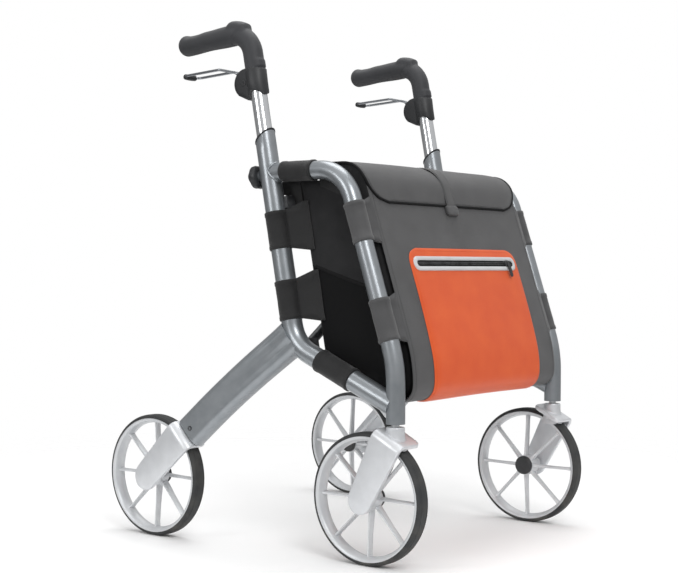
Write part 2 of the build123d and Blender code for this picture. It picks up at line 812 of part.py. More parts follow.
def strap():
    offset = lid_offset() + (lid_thickness + strap_thickness) / 2
    points = lid_points(offset, lid_front_low - strap_below_lid)
    points[0] = at(strap_rear_forward, points[0].Z, 0)
    band = strip(points, [lid_bend + strap_thickness], strap_width / 2, strap_thickness)
    down = (points[2] - points[1]).normalized()
    plane = Plane(origin=points[2], x_dir=(1, 0, 0), z_dir=down)
    hook = Box(strap_hook_width, strap_hook_depth, strap_hook_length)
    tab = plane * Pos(0, 0, strap_hook_length / 2 - strap_thickness) * hook
    short_edges = tab.edges().filter_by(lambda e: e.length < strap_hook_depth + body_gap)
    return band + fillet(short_edges, strap_hook_edge)


def pocket():
    grown = (fabric + pocket_thickness) / 2
    front = caster_forward + front_panel_offset + grown
    rear = caster_forward - pocket_under
    points = panel_path(front_panel_offset + grown, pocket_top, base_height(front, grown))
    points.append(at(rear, base_height(rear, grown), 0))
    radii = [hoop_low_bend + grown, bag_bottom_radius + grown]
    return strip(points, radii, pocket_half_width, pocket_thickness)


def panel_plane(offset, height):
    point = at(hoop_forward(height) + offset / cos(radians(hoop_slant)), height, 0)
    out = Vector(0, -cos(radians(hoop_slant)), sin(radians(hoop_slant)))
    return Plane(origin=point, x_dir=(1, 0, 0), z_dir=out)


def zip_band_solid():
    outer = RectangleRounded(2 * zip_half_length, zip_band, zip_corner)
    back = front_panel_offset + fabric / 2 + pocket_thickness
    return extrude(panel_plane(back, zip_height_on_panel) * outer, amount=zip_thickness)


def zip_slider():
    back = front_panel_offset + fabric / 2 + pocket_thickness + zip_thickness + body_gap
    plane = panel_plane(back, zip_height_on_panel)
    outline = RectangleRounded(slider_width + 2 * slider_corner, slider_height, slider_corner)
    body = extrude(plane * Pos(slider_x, 0) * outline, amount=slider_thickness)
    pull = RectangleRounded(slider_width, slider_length, slider_corner)
    tab = extrude(plane * Pos(slider_x, -slider_length / 2) * pull, amount=slider_tab_thickness)
    return body + tab


def sleeve(start, end, radius):
    return rod(start, end, radius + sleeve_thickness, radius)


def hoop_wrap(low, high):
    return sleeve(at(hoop_forward(low), low), at(hoop_forward(high), high), hoop_radius)


def sleeves():
    made = [hoop_wrap(low, high) for low, high in hoop_sleeves]
    made += [sleeve(post_point(low), post_point(high), post_radius) for low, high in post_sleeves]
    made.append(sleeve(at(top_sleeve[0], hoop_height), at(top_sleeve[1], hoop_height), hoop_radius))
    ends = [at(f, rail_height(f)) for f in rail_sleeve]
    made.append(sleeve(ends[0], ends[1], post_radius))
    return made


def leg_screw():
    start = leg_screw_point() + Vector(bite + side_gap, 0, 0)
    return rod(start, start + Vector(leg_screw_length, 0, 0), leg_screw_radius, leg_screw_socket)


# ---------------------------------------------------------------- all pieces
def cut_main_tube():
    """The lower rail stops on the hoop's outside."""
    return main_tube() - hoop_outside()


def side_pieces():
    return {
        "main_tube": [cut_main_tube()],
        "front_hoop": [front_hoop()],
        "rear_leg": [rear_leg()],
        "rear_fork": [rear_fork()],
        "tube_bushes": [post_bush(), caster_seal()],
        "height_knob": [height_knob()],
        "caster_bearings": caster_bearings(),
        "brake_shoe": [brake_shoe()],
        "bag_sleeves": sleeves(),
        "height_tube": [height_tube()],
        "brake_housing": [brake_housing()],
        "grip": [grip()],
        "brake_lever": [brake_lever()],
        "leg_screw": [leg_screw()],
        "caster_fork": [caster_fork()],
        "front_tyre": [tyre(hub_front)],
        "front_rim": [rim(hub_front)],
        "front_axle": [axle(hub_front, front_blade_outer)],
        "front_bearings": wheel_bearings(hub_front),
        "rear_tyre": [tyre(hub_rear)],
        "rear_rim": [rim(hub_rear)],
        "rear_axle": [axle(hub_rear, rear_blade_outer)],
        "rear_bearings": wheel_bearings(hub_rear),
    }


def middle_pieces():
    return {
        "cross_bar_rear": [brace_bar_rear()],
        "cross_bar_front": [brace_bar_front()],
        "centre_bolt": [centre_bolt()],
        "right_brace_mounts": brace_mounts(-1),
        "left_brace_mounts": brace_mounts(1),
        "bag_front": [bag_front()],
        "bag_back": [bag_back()],
        "bag_sides": bag_sides(),
        "lid": [lid()],
        "strap": [strap()],
        "pocket": [pocket()],
        "zip_band": [zip_band_solid()],
        "zip_slider": [zip_slider()],
    }


def write(name, solids):
    shape = solids[0] if len(solids) == 1 else Compound(children=list(solids))
    export_step(shape, f"parts/{name}.step")


os.makedirs("parts", exist_ok=True)
for name, solids in side_pieces().items():
    write("right_" + name, solids)
    write("left_" + name, [mirror(s, about=Plane.YZ) for s in solids])
for name, solids in middle_pieces().items():
    write(name, solids)
print("bar length", round(bar_length, 2), "bar angle", round(bar_angle, 2))
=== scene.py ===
# %% [markdown]
# # A rollator walker with a shopping bag
# Two bent side frames of metallic grey tube carry the handles, four light wheels and a fabric bag.
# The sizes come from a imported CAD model, which is loaded first and never moved. Each cell below dresses
# one part of it: some CAD pieces only get a finish, others are replaced by a more detailed mesh.

# %% Load the frame
import json
import math

import bmesh
import bpy
from mathutils import Matrix, Vector, noise
from mathutils.bvhtree import BVHTree
from mathutils.geometry import interpolate_bezier


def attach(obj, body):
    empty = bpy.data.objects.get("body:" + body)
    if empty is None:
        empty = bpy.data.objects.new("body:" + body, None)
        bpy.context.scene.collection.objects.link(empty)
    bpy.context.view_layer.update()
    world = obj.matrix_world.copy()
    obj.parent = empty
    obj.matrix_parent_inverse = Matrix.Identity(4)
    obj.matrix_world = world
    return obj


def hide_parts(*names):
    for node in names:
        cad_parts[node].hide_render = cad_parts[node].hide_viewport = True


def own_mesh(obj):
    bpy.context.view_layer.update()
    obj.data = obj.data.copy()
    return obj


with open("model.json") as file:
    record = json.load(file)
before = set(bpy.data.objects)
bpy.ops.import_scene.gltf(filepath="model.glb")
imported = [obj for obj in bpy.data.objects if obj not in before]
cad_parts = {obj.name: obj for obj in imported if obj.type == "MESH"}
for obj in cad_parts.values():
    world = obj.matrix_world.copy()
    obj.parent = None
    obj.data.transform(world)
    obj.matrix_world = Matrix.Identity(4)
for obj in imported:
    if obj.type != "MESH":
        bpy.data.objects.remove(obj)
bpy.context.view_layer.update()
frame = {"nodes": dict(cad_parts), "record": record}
scene = bpy.context.scene
nodes = frame["nodes"]

# %% [markdown]
# ## Where things are
# The walker stands on the floor with its front towards -Y, so a place is easiest to give as how far
# ahead, how high and how far to the side it is, in millimetres. The side frames lean, and a few short
# functions say where each straight run of tube is at a given height, as a workshop drawing would.

# %% Sizes of the frame, in millimetres
MM = 0.001
FRAME_HALF = 234.0
POST_R, HOOP_R = 16.5, 14.3
POST_LEAN, RAIL_DROP, HOOP_SLANT = 11.09, 23.6, 18.3
POST_FOOT = (61.8, 324.6)
HOOP_TOP, HOOP_CORNER, CASTER_AHEAD = 595.0, 157.9, 255.0
WHEEL_R, AXLE_AHEAD, REAR_TRACK = 100.0, 207.8, 268.5
LEG_ANGLE, FORK_ANGLE = 43.5, 62.4


def at(ahead, up, across=0.0):
    """A point in metres from millimetres ahead, up and across."""
    return Vector((across * MM, -ahead * MM, up * MM))


def post_ahead(up):
    return POST_FOOT[0] - math.tan(math.radians(POST_LEAN)) * (up - POST_FOOT[1])


def rail_up(ahead):
    return POST_FOOT[1] - math.tan(math.radians(RAIL_DROP)) * (ahead - POST_FOOT[0])


def hoop_ahead(up):
    return HOOP_CORNER + math.tan(math.radians(HOOP_SLANT)) * (HOOP_TOP - up)


def way(angle):
    """The direction in the side view that rises by angle, measured from straight ahead."""
    return at(1 / MM * math.cos(math.radians(angle)), 1 / MM * math.sin(math.radians(angle)))


POST_UP = way(90 + POST_LEAN)
HOOP_OUT = way(HOOP_SLANT)
HOOP_DOWN = way(HOOP_SLANT - 90)
print("post leans to", round(post_ahead(655), 1), "mm at its top")

# %% [markdown]
# ## The camera
# The walker is seen from its front right corner, with the lens a little above half its height and
# almost level, so that the wheels nearly line up along the floor. A longer lens keeps the far side
# close in size to the near side, as on a catalogue page.

# %% Camera
camera_data = bpy.data.cameras.new("camera")
camera_data.lens = 72.22
camera_data.sensor_width = 36.0
camera = bpy.data.objects.new("camera", camera_data)
scene.collection.objects.link(camera)
camera.location = (-1.8600, -1.4228, 0.4439)
turn, rise, roll = math.radians(-51.90), math.radians(0.764), math.radians(0.283)
look_back = Vector((math.sin(turn) * math.cos(rise), -math.cos(turn) * math.cos(rise), math.sin(rise)))
camera.rotation_mode = "QUATERNION"
camera.rotation_quaternion = (-look_back).to_track_quat("-Z", "Y") @ Matrix.Rotation(
    roll, 3, "Z"
).to_quaternion()
scene.camera = camera
scene.view_settings.view_transform = "Standard"
print("camera", [round(v, 3) for v in camera.location])

# %% [markdown]
# ## Helpers for shader trees
# Every finish below is a small tree of shader nodes. Two short functions keep the code readable: one adds
# a node with its settings and input values in a single call, and one joins two sockets.

# %% Node helpers
def add_node(tree, kind, inputs=None, **settings):
    """A node of one kind, with its settings and the values of its inputs by name or place."""
    node = tree.nodes.new(kind)
    for key, value in settings.items():
        setattr(node, key, value)
    for key, value in (inputs or {}).items():
        if isinstance(value, bpy.types.NodeSocket):
            tree.links.new(value, node.inputs[key])
        else:
            node.inputs[key].default_value = value
    return node


def shader_group(name, inputs, outputs):
    """An empty node group with float, vector or colour sockets, and its two end nodes."""
    group = bpy.data.node_groups.new(name, "ShaderNodeTree")
    kinds = {"v": "NodeSocketVector", "f": "NodeSocketFloat", "c": "NodeSocketColor"}
    for label, kind, value in inputs:
        socket = group.interface.new_socket(label, in_out="INPUT", socket_type=kinds[kind])
        if value is not None:
            socket.default_value = value
    for label, kind in outputs:
        group.interface.new_socket(label, in_out="OUTPUT", socket_type=kinds[kind])
    return group, group.nodes.new("NodeGroupInput"), group.nodes.new("NodeGroupOutput")


def colour(red, green, blue):
    """A screen colour from 0 to 255 as the linear values that shaders use."""
    linear = [v / 255 for v in (red, green, blue)]
    return [v / 12.92 if v <= 0.04045 else ((v + 0.055) / 1.055) ** 2.4 for v in linear] + [1.0]


print("mid grey is", [round(v, 3) for v in colour(128, 128, 128)])

# %% [markdown]
# ## Floor and light
# A pale floor fades into a white surround, so no edge or horizon shows behind the walker. The surround is
# white where it is seen, but what lights the metal is a tent of soft panels with darker gaps: round tubes
# only look round when something dark sits beside the highlight.

# %% Surround
world = bpy.data.worlds.new("studio")
world.use_nodes = True
scene.world = world
tree = world.node_tree
tree.nodes.clear()
direction = add_node(tree, "ShaderNodeTexCoord").outputs["Generated"]
split = add_node(tree, "ShaderNodeSeparateXYZ", {0: direction})
height_glow = add_node(tree, "ShaderNodeMapRange", {0: split.outputs["Z"], 1: -0.2, 2: 0.8, 3: 0.28, 4: 0.92})
side_dark = add_node(
    tree, "ShaderNodeVectorMath", {0: direction, 1: (0.10, 0.99, 0.0)}, operation="DOT_PRODUCT"
)
side_share = add_node(
    tree, "ShaderNodeMapRange", {0: side_dark.outputs["Value"], 1: 0.15, 2: 0.9, 3: 1.0, 4: 0.62}
)
glow = add_node(
    tree, "ShaderNodeMath", {0: height_glow.outputs[0], 1: side_share.outputs[0]}, operation="MULTIPLY"
)
tent = add_node(tree, "ShaderNodeBackground", {"Color": (1, 1, 1, 1), "Strength": glow.outputs[0]})
seen = add_node(tree, "ShaderNodeBackground", {"Color": (1, 1, 1, 1), "Strength": 1.0})
path_kind = add_node(tree, "ShaderNodeLightPath")
mixed = add_node(
    tree, "ShaderNodeMixShader",
    {0: path_kind.outputs["Is Camera Ray"], 1: tent.outputs[0], 2: seen.outputs[0]}
)
add_node(tree, "ShaderNodeOutputWorld", {"Surface": mixed.outputs[0]})
print("surround of", len(tree.nodes), "nodes")

# %% Soft panels and floor
def soft_panel(name, place, aim, size, watts):
    """A square area light at place, turned towards aim."""
    data = bpy.data.lights.new(name, "AREA")
    data.shape = "SQUARE"
    data.size = size
    data.energy = watts
    light = bpy.data.objects.new(name, data)
    scene.collection.objects.link(light)
    light.location = place
    light.rotation_mode = "QUATERNION"
    light.rotation_quaternion = (Vector(aim) - Vector(place)).to_track_quat("-Z", "Y")
    light.visible_camera = False
    return light


soft_panel("key_panel", (-1.6, -2.2, 2.3), (0.0, 0.0, 0.4), 1.1, 34.0)
soft_panel("side_panel", (-2.6, 0.6, 1.2), (0.0, 0.0, 0.4), 0.9, 13.0)
soft_panel("top_panel", (0.3, 0.2, 2.6), (0.0, 0.0, 0.3), 1.6, 23.0)

floor_mesh = bpy.data.meshes.new("floor")
reach = 4.0
floor_mesh.from_pydata(
    [(-reach, -reach, 0), (reach, -reach, 0), (reach, reach, 0), (-reach, reach, 0)], [], [(0, 1, 2, 3)]
)
floor = bpy.data.objects.new("floor", floor_mesh)
scene.collection.objects.link(floor)
floor_paint = bpy.data.materials.new("pale_floor")
floor_paint.use_nodes = True
tree = floor_paint.node_tree
tree.nodes.clear()
place = add_node(tree, "ShaderNodeTexCoord").outputs["Object"]
away = add_node(tree, "ShaderNodeVectorMath", {0: place}, operation="LENGTH")
fade = add_node(
    tree, "ShaderNodeMapRange", {0: away.outputs["Value"], 1: 0.55, 2: 1.5, 3: 1.0, 4: 0.0},
    interpolation_type="SMOOTHSTEP"
)
paint = add_node(tree, "ShaderNodeBsdfPrincipled", {"Base Color": colour(254, 254, 254), "Roughness": 0.55})
clear = add_node(tree, "ShaderNodeBsdfTransparent")
blend_away = add_node(
    tree, "ShaderNodeMixShader", {0: fade.outputs[0], 1: clear.outputs[0], 2: paint.outputs[0]}
)
add_node(tree, "ShaderNodeOutputMaterial", {"Surface": blend_away.outputs[0]})
floor_mesh.materials.append(floor_paint)

# %% [markdown]
# ## Effects that several finishes share
# Paint, rubber and plastic all carry the same few small faults: a fine grain, slow changes of shade, paler
# edges where hands and bags rub, and a trace of dust low down. Each effect is a node group with its own
# named inputs, built once, so every finish can use it at its own scale.

# %% Grain, shade and wear groups
grain_group, inside, outside = shader_group(
    "fine_grain",
    [("Vector", "v", None), ("Scale", "f", 900.0), ("Detail", "f", 3.0)],
    [("Height", "f"), ("Patch", "f")],
)
fine = add_node(
    grain_group, "ShaderNodeTexNoise",
    {
        "Vector": inside.outputs["Vector"], "Scale": inside.outputs["Scale"],
        "Detail": inside.outputs["Detail"]
    }
)
patch_scale = add_node(
    grain_group, "ShaderNodeMath", {0: inside.outputs["Scale"], 1: 0.02}, operation="MULTIPLY"
)
patch = add_node(
    grain_group, "ShaderNodeTexNoise",
    {"Vector": inside.outputs["Vector"], "Scale": patch_scale.outputs[0], "Detail": 4.0}
)
grain_group.links.new(fine.outputs["Fac"], outside.inputs["Height"])
grain_group.links.new(patch.outputs["Fac"], outside.inputs["Patch"])

wear_group, inside, outside = shader_group(
    "edge_wear",
    [("Vector", "v", None), ("Edge", "f", 0.53), ("Width", "f", 0.06), ("Breakup", "f", 60.0)],
    [("Mask", "f")],
)
edges = add_node(wear_group, "ShaderNodeNewGeometry").outputs["Pointiness"]
edge_end = add_node(
    wear_group, "ShaderNodeMath", {0: inside.outputs["Edge"], 1: inside.outputs["Width"]}, operation="ADD"
)
sharp = add_node(
    wear_group, "ShaderNodeMapRange", {0: edges, 1: inside.outputs["Edge"], 2: edge_end.outputs[0]}
)
breakup = add_node(
    wear_group, "ShaderNodeTexNoise",
    {"Vector": inside.outputs["Vector"], "Scale": inside.outputs["Breakup"], "Detail": 3.0}
)
broken = add_node(wear_group, "ShaderNodeMapRange", {0: breakup.outputs["Fac"], 1: 0.35, 2: 0.6})
worn = add_node(
    wear_group, "ShaderNodeMath", {0: sharp.outputs[0], 1: broken.outputs[0]}, operation="MULTIPLY"
)
wear_group.links.new(worn.outputs[0], outside.inputs["Mask"])

dust_group, inside, outside = shader_group(
    "low_dust",
    [("Vector", "v", None), ("Top", "f", 0.22), ("Scale", "f", 38.0)],
    [("Mask", "f")],
)
up = add_node(dust_group, "ShaderNodeSeparateXYZ", {0: inside.outputs["Vector"]})
low_share = add_node(
    dust_group, "ShaderNodeMapRange",
    {0: up.outputs["Z"], 1: 0.0, 2: inside.outputs["Top"], 3: 1.0, 4: 0.0}
)
cloud = add_node(
    dust_group, "ShaderNodeTexNoise",
    {"Vector": inside.outputs["Vector"], "Scale": inside.outputs["Scale"], "Detail": 5.0}
)
cloudy = add_node(dust_group, "ShaderNodeMapRange", {0: cloud.outputs["Fac"], 1: 0.42, 2: 0.75})
dusty = add_node(
    dust_group, "ShaderNodeMath", {0: low_share.outputs[0], 1: cloudy.outputs[0]}, operation="MULTIPLY"
)
dust_group.links.new(dusty.outputs[0], outside.inputs["Mask"])
print("groups:", [g.name for g in (grain_group, wear_group, dust_group)])

# %% [markdown]
# ## A weave that needs no map
# Woven polyester shows as a fine basket of over and under threads. Multiplying two sine waves gives that
# basket in one plane. Adding the three products of X, Y and Z gives it on a panel facing any way, so
# cloth that was reshaped by a simulation, and lost its map, still shows a clean weave.

# %% Weave group
weave_group, inside, outside = shader_group(
    "plain_weave",
    [("Vector", "v", None), ("Thread", "f", 0.0011)],
    [("Height", "f"), ("Shade", "f")],
)
per_metre = add_node(
    weave_group, "ShaderNodeMath", {0: 2 * math.pi, 1: inside.outputs["Thread"]}, operation="DIVIDE"
)
scaled = add_node(
    weave_group, "ShaderNodeVectorMath", {0: inside.outputs["Vector"], "Scale": per_metre.outputs[0]},
    operation="SCALE"
)
waves = add_node(weave_group, "ShaderNodeVectorMath", {0: scaled.outputs[0]}, operation="SINE")
turned_round = add_node(weave_group, "ShaderNodeSeparateXYZ", {0: waves.outputs[0]})
next_axis = add_node(
    weave_group, "ShaderNodeCombineXYZ",
    {0: turned_round.outputs[1], 1: turned_round.outputs[2], 2: turned_round.outputs[0]}
)
basket = add_node(
    weave_group, "ShaderNodeVectorMath", {0: waves.outputs[0], 1: next_axis.outputs[0]},
    operation="DOT_PRODUCT"
)
height = add_node(weave_group, "ShaderNodeMapRange", {0: basket.outputs["Value"], 1: -1.0, 2: 1.0})
slubs = add_node(
    weave_group, "ShaderNodeTexNoise", {"Vector": inside.outputs["Vector"], "Scale": 26.0, "Detail": 4.0}
)
weave_group.links.new(height.outputs[0], outside.inputs["Height"])
weave_group.links.new(slubs.outputs["Fac"], outside.inputs["Shade"])
print("weave group of", len(weave_group.nodes), "nodes")

# %% [markdown]
# ## Finishes
# Each finish mixes a main colour with a slightly different one by a mask from the shared groups, and lets
# the same masks roughen the surface. Only the varying parts are wired. Plain values, such as how metallic
# a paint is, are typed straight into the shader.


# %% A function that builds one finish
def finish_tree(
    name, base, second, rough, group, group_inputs, masks=("Patch", "Height"), bump=0.1,
    bump_depth=0.0002, rough_swing=0.12, wear=None, dust=None, **plain
):
    """A material with colour, roughness and bump from one shared group, and wear and dust if asked for."""
    made = bpy.data.materials.new(name)
    made.use_nodes = True
    tree = made.node_tree
    tree.nodes.clear()
    place = add_node(tree, "ShaderNodeTexCoord").outputs["Object"]
    effect = add_node(tree, "ShaderNodeGroup", node_tree=group)
    tree.links.new(place, effect.inputs["Vector"])
    for key, value in group_inputs.items():
        effect.inputs[key].default_value = value
    share = add_node(tree, "ShaderNodeMapRange", {0: effect.outputs[masks[0]], 1: 0.3, 2: 0.7})
    mix = add_node(tree, "ShaderNodeMix", {0: share.outputs[0], 6: base, 7: second}, data_type="RGBA")
    paint = mix.outputs[2]
    roughness = add_node(
        tree, "ShaderNodeMapRange",
        {0: effect.outputs[masks[0]], 3: rough - rough_swing / 2, 4: rough + rough_swing / 2}
    ).outputs[0]
    if wear:
        rub = add_node(tree, "ShaderNodeGroup", node_tree=wear_group)
        tree.links.new(place, rub.inputs["Vector"])
        rub.inputs["Edge"].default_value = wear[1]
        paint = add_node(
            tree, "ShaderNodeMix", {0: rub.outputs["Mask"], 6: paint, 7: wear[0]}, data_type="RGBA"
        ).outputs[2]
    if dust:
        haze = add_node(tree, "ShaderNodeGroup", node_tree=dust_group)
        tree.links.new(place, haze.inputs["Vector"])
        thin = add_node(tree, "ShaderNodeMath", {0: haze.outputs["Mask"], 1: dust[1]}, operation="MULTIPLY")
        paint = add_node(
            tree, "ShaderNodeMix", {0: thin.outputs[0], 6: paint, 7: dust[0]}, data_type="RGBA"
        ).outputs[2]
        roughness = add_node(
            tree, "ShaderNodeMath", {0: roughness, 1: thin.outputs[0]}, operation="ADD", use_clamp=True
        ).outputs[0]
    relief = add_node(
        tree, "ShaderNodeBump",
        {"Strength": bump, "Distance": bump_depth, "Height": effect.outputs[masks[1]]}
    )
    shader = add_node(
        tree, "ShaderNodeBsdfPrincipled",
        {"Base Color": paint, "Roughness": roughness, "Normal": relief.outputs[0], **plain}
    )
    add_node(tree, "ShaderNodeOutputMaterial", {"Surface": shader.outputs[0]})
    return made


print("wear group of", len(wear_group.nodes), "nodes and dust group of", len(dust_group.nodes))

# %% Metal finishes
DUST = colour(170, 166, 158)
frame_paint = finish_tree(
    "satin_frame_paint", colour(141, 146, 150), colour(151, 155, 159), 0.32, grain_group,
    {"Scale": 2600.0}, bump=0.12, bump_depth=0.00008, rough_swing=0.06, dust=(DUST, 0.10),
    **{"Metallic": 0.72, "Coat Weight": 0.25, "Coat Roughness": 0.22}
)
fork_metal = finish_tree(
    "silver_fork_paint", colour(206, 208, 211), colour(214, 216, 219), 0.36, grain_group,
    {"Scale": 3000.0}, bump=0.10, bump_depth=0.00006, rough_swing=0.06,
    wear=(colour(236, 238, 240), 0.57), dust=(DUST, 0.12),
    **{"Metallic": 0.45, "Coat Weight": 0.2, "Coat Roughness": 0.2}
)
rim_metal = finish_tree(
    "silver_rim_paint", colour(198, 200, 203), colour(206, 208, 210), 0.38, grain_group,
    {"Scale": 2400.0}, bump=0.10, bump_depth=0.00006, rough_swing=0.08,
    wear=(colour(232, 234, 236), 0.57), dust=(DUST, 0.15), **{"Metallic": 0.35}
)
chrome = finish_tree(
    "bright_chrome", colour(214, 216, 219), colour(222, 224, 226), 0.15, grain_group, {"Scale": 1800.0},
    bump=0.01, bump_depth=0.00001, rough_swing=0.06, **{"Metallic": 1.0}
)
# The lever wire is bright chrome; its colour is set darker all over to paint in the dark reflection it shows.
lever_wire = finish_tree(
    "lever_wire_painted_dark_reflection", colour(138, 141, 145), colour(150, 153, 157), 0.22, grain_group,
    {"Scale": 1800.0}, bump=0.05, bump_depth=0.00004, rough_swing=0.08, **{"Metallic": 1.0}
)
bearing_steel = finish_tree(
    "oiled_steel", colour(150, 152, 155), colour(164, 166, 169), 0.28, grain_group, {"Scale": 2200.0},
    bump=0.08, bump_depth=0.00005, **{"Metallic": 1.0}
)
brace_metal = finish_tree(
    "dark_brace_paint", colour(58, 61, 64), colour(66, 69, 72), 0.42, grain_group, {"Scale": 2000.0},
    bump=0.15, bump_depth=0.0001, wear=(colour(120, 122, 124), 0.56), **{"Metallic": 0.3}
)
metals = (frame_paint, fork_metal, rim_metal, chrome, lever_wire, bearing_steel, brace_metal)
print("metals:", [made.name for made in metals])

# %% Plastic and rubber finishes
black_plastic = finish_tree(
    "moulded_black_plastic", colour(38, 39, 41), colour(46, 47, 49), 0.46, grain_group,
    {"Scale": 1500.0, "Detail": 2.0}, bump=0.25, bump_depth=0.00012, wear=(colour(84, 85, 87), 0.57),
    dust=(DUST, 0.06), **{"Specular IOR Level": 0.45}
)
grip_rubber = finish_tree(
    "soft_grip_rubber", colour(48, 49, 52), colour(56, 57, 60), 0.58, grain_group,
    {"Scale": 1100.0, "Detail": 2.0}, bump=0.35, bump_depth=0.00018, wear=(colour(86, 87, 90), 0.58),
    **{"Specular IOR Level": 0.4, "Sheen Weight": 0.12, "Sheen Roughness": 0.5}
)
tyre_rubber = finish_tree(
    "tyre_rubber", colour(44, 45, 46), colour(54, 55, 56), 0.62, grain_group, {"Scale": 1300.0}, bump=0.3,
    bump_depth=0.0002, wear=(colour(80, 80, 80), 0.57), dust=(colour(120, 117, 110), 0.45),
    **{"Specular IOR Level": 0.35}
)
print("plastic and rubbers:", [made.name for made in (black_plastic, grip_rubber, tyre_rubber)])

# %% Cloth finishes
bag_grey = finish_tree(
    "grey_coated_polyester", colour(66, 66, 67), colour(76, 76, 77), 0.62, weave_group,
    {"Thread": 0.0012}, masks=("Shade", "Height"), bump=0.5, bump_depth=0.00022, rough_swing=0.1,
    **{"Specular IOR Level": 0.4, "Sheen Weight": 0.2, "Sheen Roughness": 0.5}
)
bag_black = finish_tree(
    "black_woven_polyester", colour(20, 20, 21), colour(28, 28, 29), 0.66, weave_group,
    {"Thread": 0.0014}, masks=("Shade", "Height"), bump=0.6, bump_depth=0.0003, rough_swing=0.12,
    **{"Specular IOR Level": 0.4, "Sheen Weight": 0.18, "Sheen Roughness": 0.45}
)
pocket_orange = finish_tree(
    "orange_coated_cloth", colour(215, 82, 28), colour(222, 92, 36), 0.47, weave_group,
    {"Thread": 0.0009}, masks=("Shade", "Height"), bump=0.25, bump_depth=0.00012, rough_swing=0.1,
    **{"Specular IOR Level": 0.4, "Sheen Weight": 0.08}
)
zip_light = finish_tree(
    "pale_zip_rubber", colour(196, 198, 200), colour(206, 208, 210), 0.48, grain_group, {"Scale": 1600.0},
    bump=0.15, bump_depth=0.0001
)
binding = finish_tree(
    "dark_edge_tape", colour(8, 8, 9), colour(15, 15, 16), 0.70, weave_group, {"Thread": 0.0016},
    masks=("Shade", "Height"), bump=0.6, bump_depth=0.0003, **{"Specular IOR Level": 0.25}
)
thread = finish_tree(
    "dark_sewing_thread", colour(24, 24, 26), colour(50, 50, 52), 0.55, weave_group, {"Thread": 0.0005},
    masks=("Shade", "Height"), bump=0.3, bump_depth=0.0001
)
finishes = {
    "frame_paint": frame_paint, "fork_metal": fork_metal, "chrome": chrome, "rim_metal": rim_metal,
    "tyre_rubber": tyre_rubber, "grip_rubber": grip_rubber, "black_plastic": black_plastic,
    "lever_wire": lever_wire, "bearing_steel": bearing_steel, "brace_metal": brace_metal,
    "bag_grey": bag_grey, "bag_black": bag_black, "pocket_orange": pocket_orange, "zip_light": zip_light,
}
print(len(finishes), "finishes for the record's slots")

# %% [markdown]
# ## Dress the CAD pieces
# Tubes, bushes, bars and bearings keep their CAD shape, which is exact, and only need their finish. The
# record says which slot each node uses, so one loop dresses them all, and later cells hide the nodes
# that a more detailed piece replaces.

# %% Give every node its finish
for part in frame["record"]["subparts"]:
    skin_of = nodes[part["node"]].data.materials
    skin_of.clear()
    skin_of.append(finishes[part["material_slot"]])

# %% [markdown]
# ## Mesh helpers
# Most pieces here are skins over a run of rings: a tube, a leg, a lathe-turned rim or a strap are all the
# same idea with different rings. Building them from rings gives clean four-sided faces that shade and
# subdivide well, which the triangles of a CAD mesh don't.

# %% Rings and skins
SIDES = (("right", -1.0), ("left", 1.0))


def smooth_shade(mesh, sharp_angle):
    """Shades a mesh smoothly, except over edges sharper than sharp_angle degrees."""
    mesh.polygons.foreach_set("use_smooth", [True] * len(mesh.polygons))
    mesh.set_sharp_from_angle(angle=math.radians(sharp_angle))


def tidy_mesh(mesh, merge=1e-6):
    """Merges doubles and turns every face outwards."""
    work = bmesh.new()
    work.from_mesh(mesh)
    bmesh.ops.remove_doubles(work, verts=work.verts, dist=merge)
    bmesh.ops.dissolve_degenerate(work, edges=work.edges, dist=merge)
    bmesh.ops.recalc_face_normals(work, faces=work.faces)
    work.to_mesh(mesh)
    work.free()


def mesh_object(name, points, faces, edges=()):
    """A new object whose mesh has these points in metres."""
    mesh = bpy.data.meshes.new(name)
    mesh.from_pydata([tuple(p) for p in points], edges, faces)
    obj = bpy.data.objects.new(name, mesh)
    scene.collection.objects.link(obj)
    return obj


def skin(rings, loop=False, caps=True):
    """Points and faces over closed rings of equal count, joined end to end if loop is set."""
    count = len(rings[0])
    points = [p for ring in rings for p in ring]
    faces = []
    for r in range(len(rings) if loop else len(rings) - 1):
        here, there = r * count, (r + 1) % len(rings) * count
        faces += [
            (here + k, here + (k + 1) % count, there + (k + 1) % count, there + k) for k in range(count)
        ]
    if caps and not loop:
        for base in (0, (len(rings) - 1) * count):
            middle = sum((points[base + k] for k in range(count)), Vector()) / count
            points.append(middle)
            faces += [(base + k, base + (k + 1) % count, len(points) - 1) for k in range(count)]
    return points, faces


def gathered(parts):
    """Several lots of points and faces as one lot."""
    points, faces = [], []
    for more_points, more_faces in parts:
        shift = len(points)
        points += list(more_points)
        faces += [tuple(k + shift for k in face) for face in more_faces]
    return points, faces


def turned(outline, centre, axis=Vector((-1, 0, 0)), count=64, loop=True):
    """A lathe-turned skin: outline points are (along the axis, radius) in millimetres."""
    axis = axis.normalized()
    across = axis.orthogonal().normalized()
    other = axis.cross(across)
    rings = []
    for along, radius in outline:
        mid = centre + axis * along * MM
        rings.append(
            [
                mid + (across * math.cos(t) + other * math.sin(t)) * radius * MM
                for t in (2 * math.pi * k / count for k in range(count))
            ]
        )
    return skin(rings, loop=loop)


def rounded_outline(corners, steps=4):
    """A closed outline with each corner (along, radius, round) cut to a small arc."""
    made = []
    for i, (x, y, size) in enumerate(corners):
        here = Vector((x, y))
        if size <= 0:
            made.append((x, y))
            continue
        before = Vector(corners[i - 1][:2]) - here
        after = Vector(corners[(i + 1) % len(corners)][:2]) - here
        start = here + before.normalized() * min(size, before.length * 0.49)
        end = here + after.normalized() * min(size, after.length * 0.49)
        made += [
            tuple(start * (1 - t) ** 2 + here * 2 * t * (1 - t) + end * t * t)
            for t in (k / steps for k in range(steps + 1))
        ]
    return made


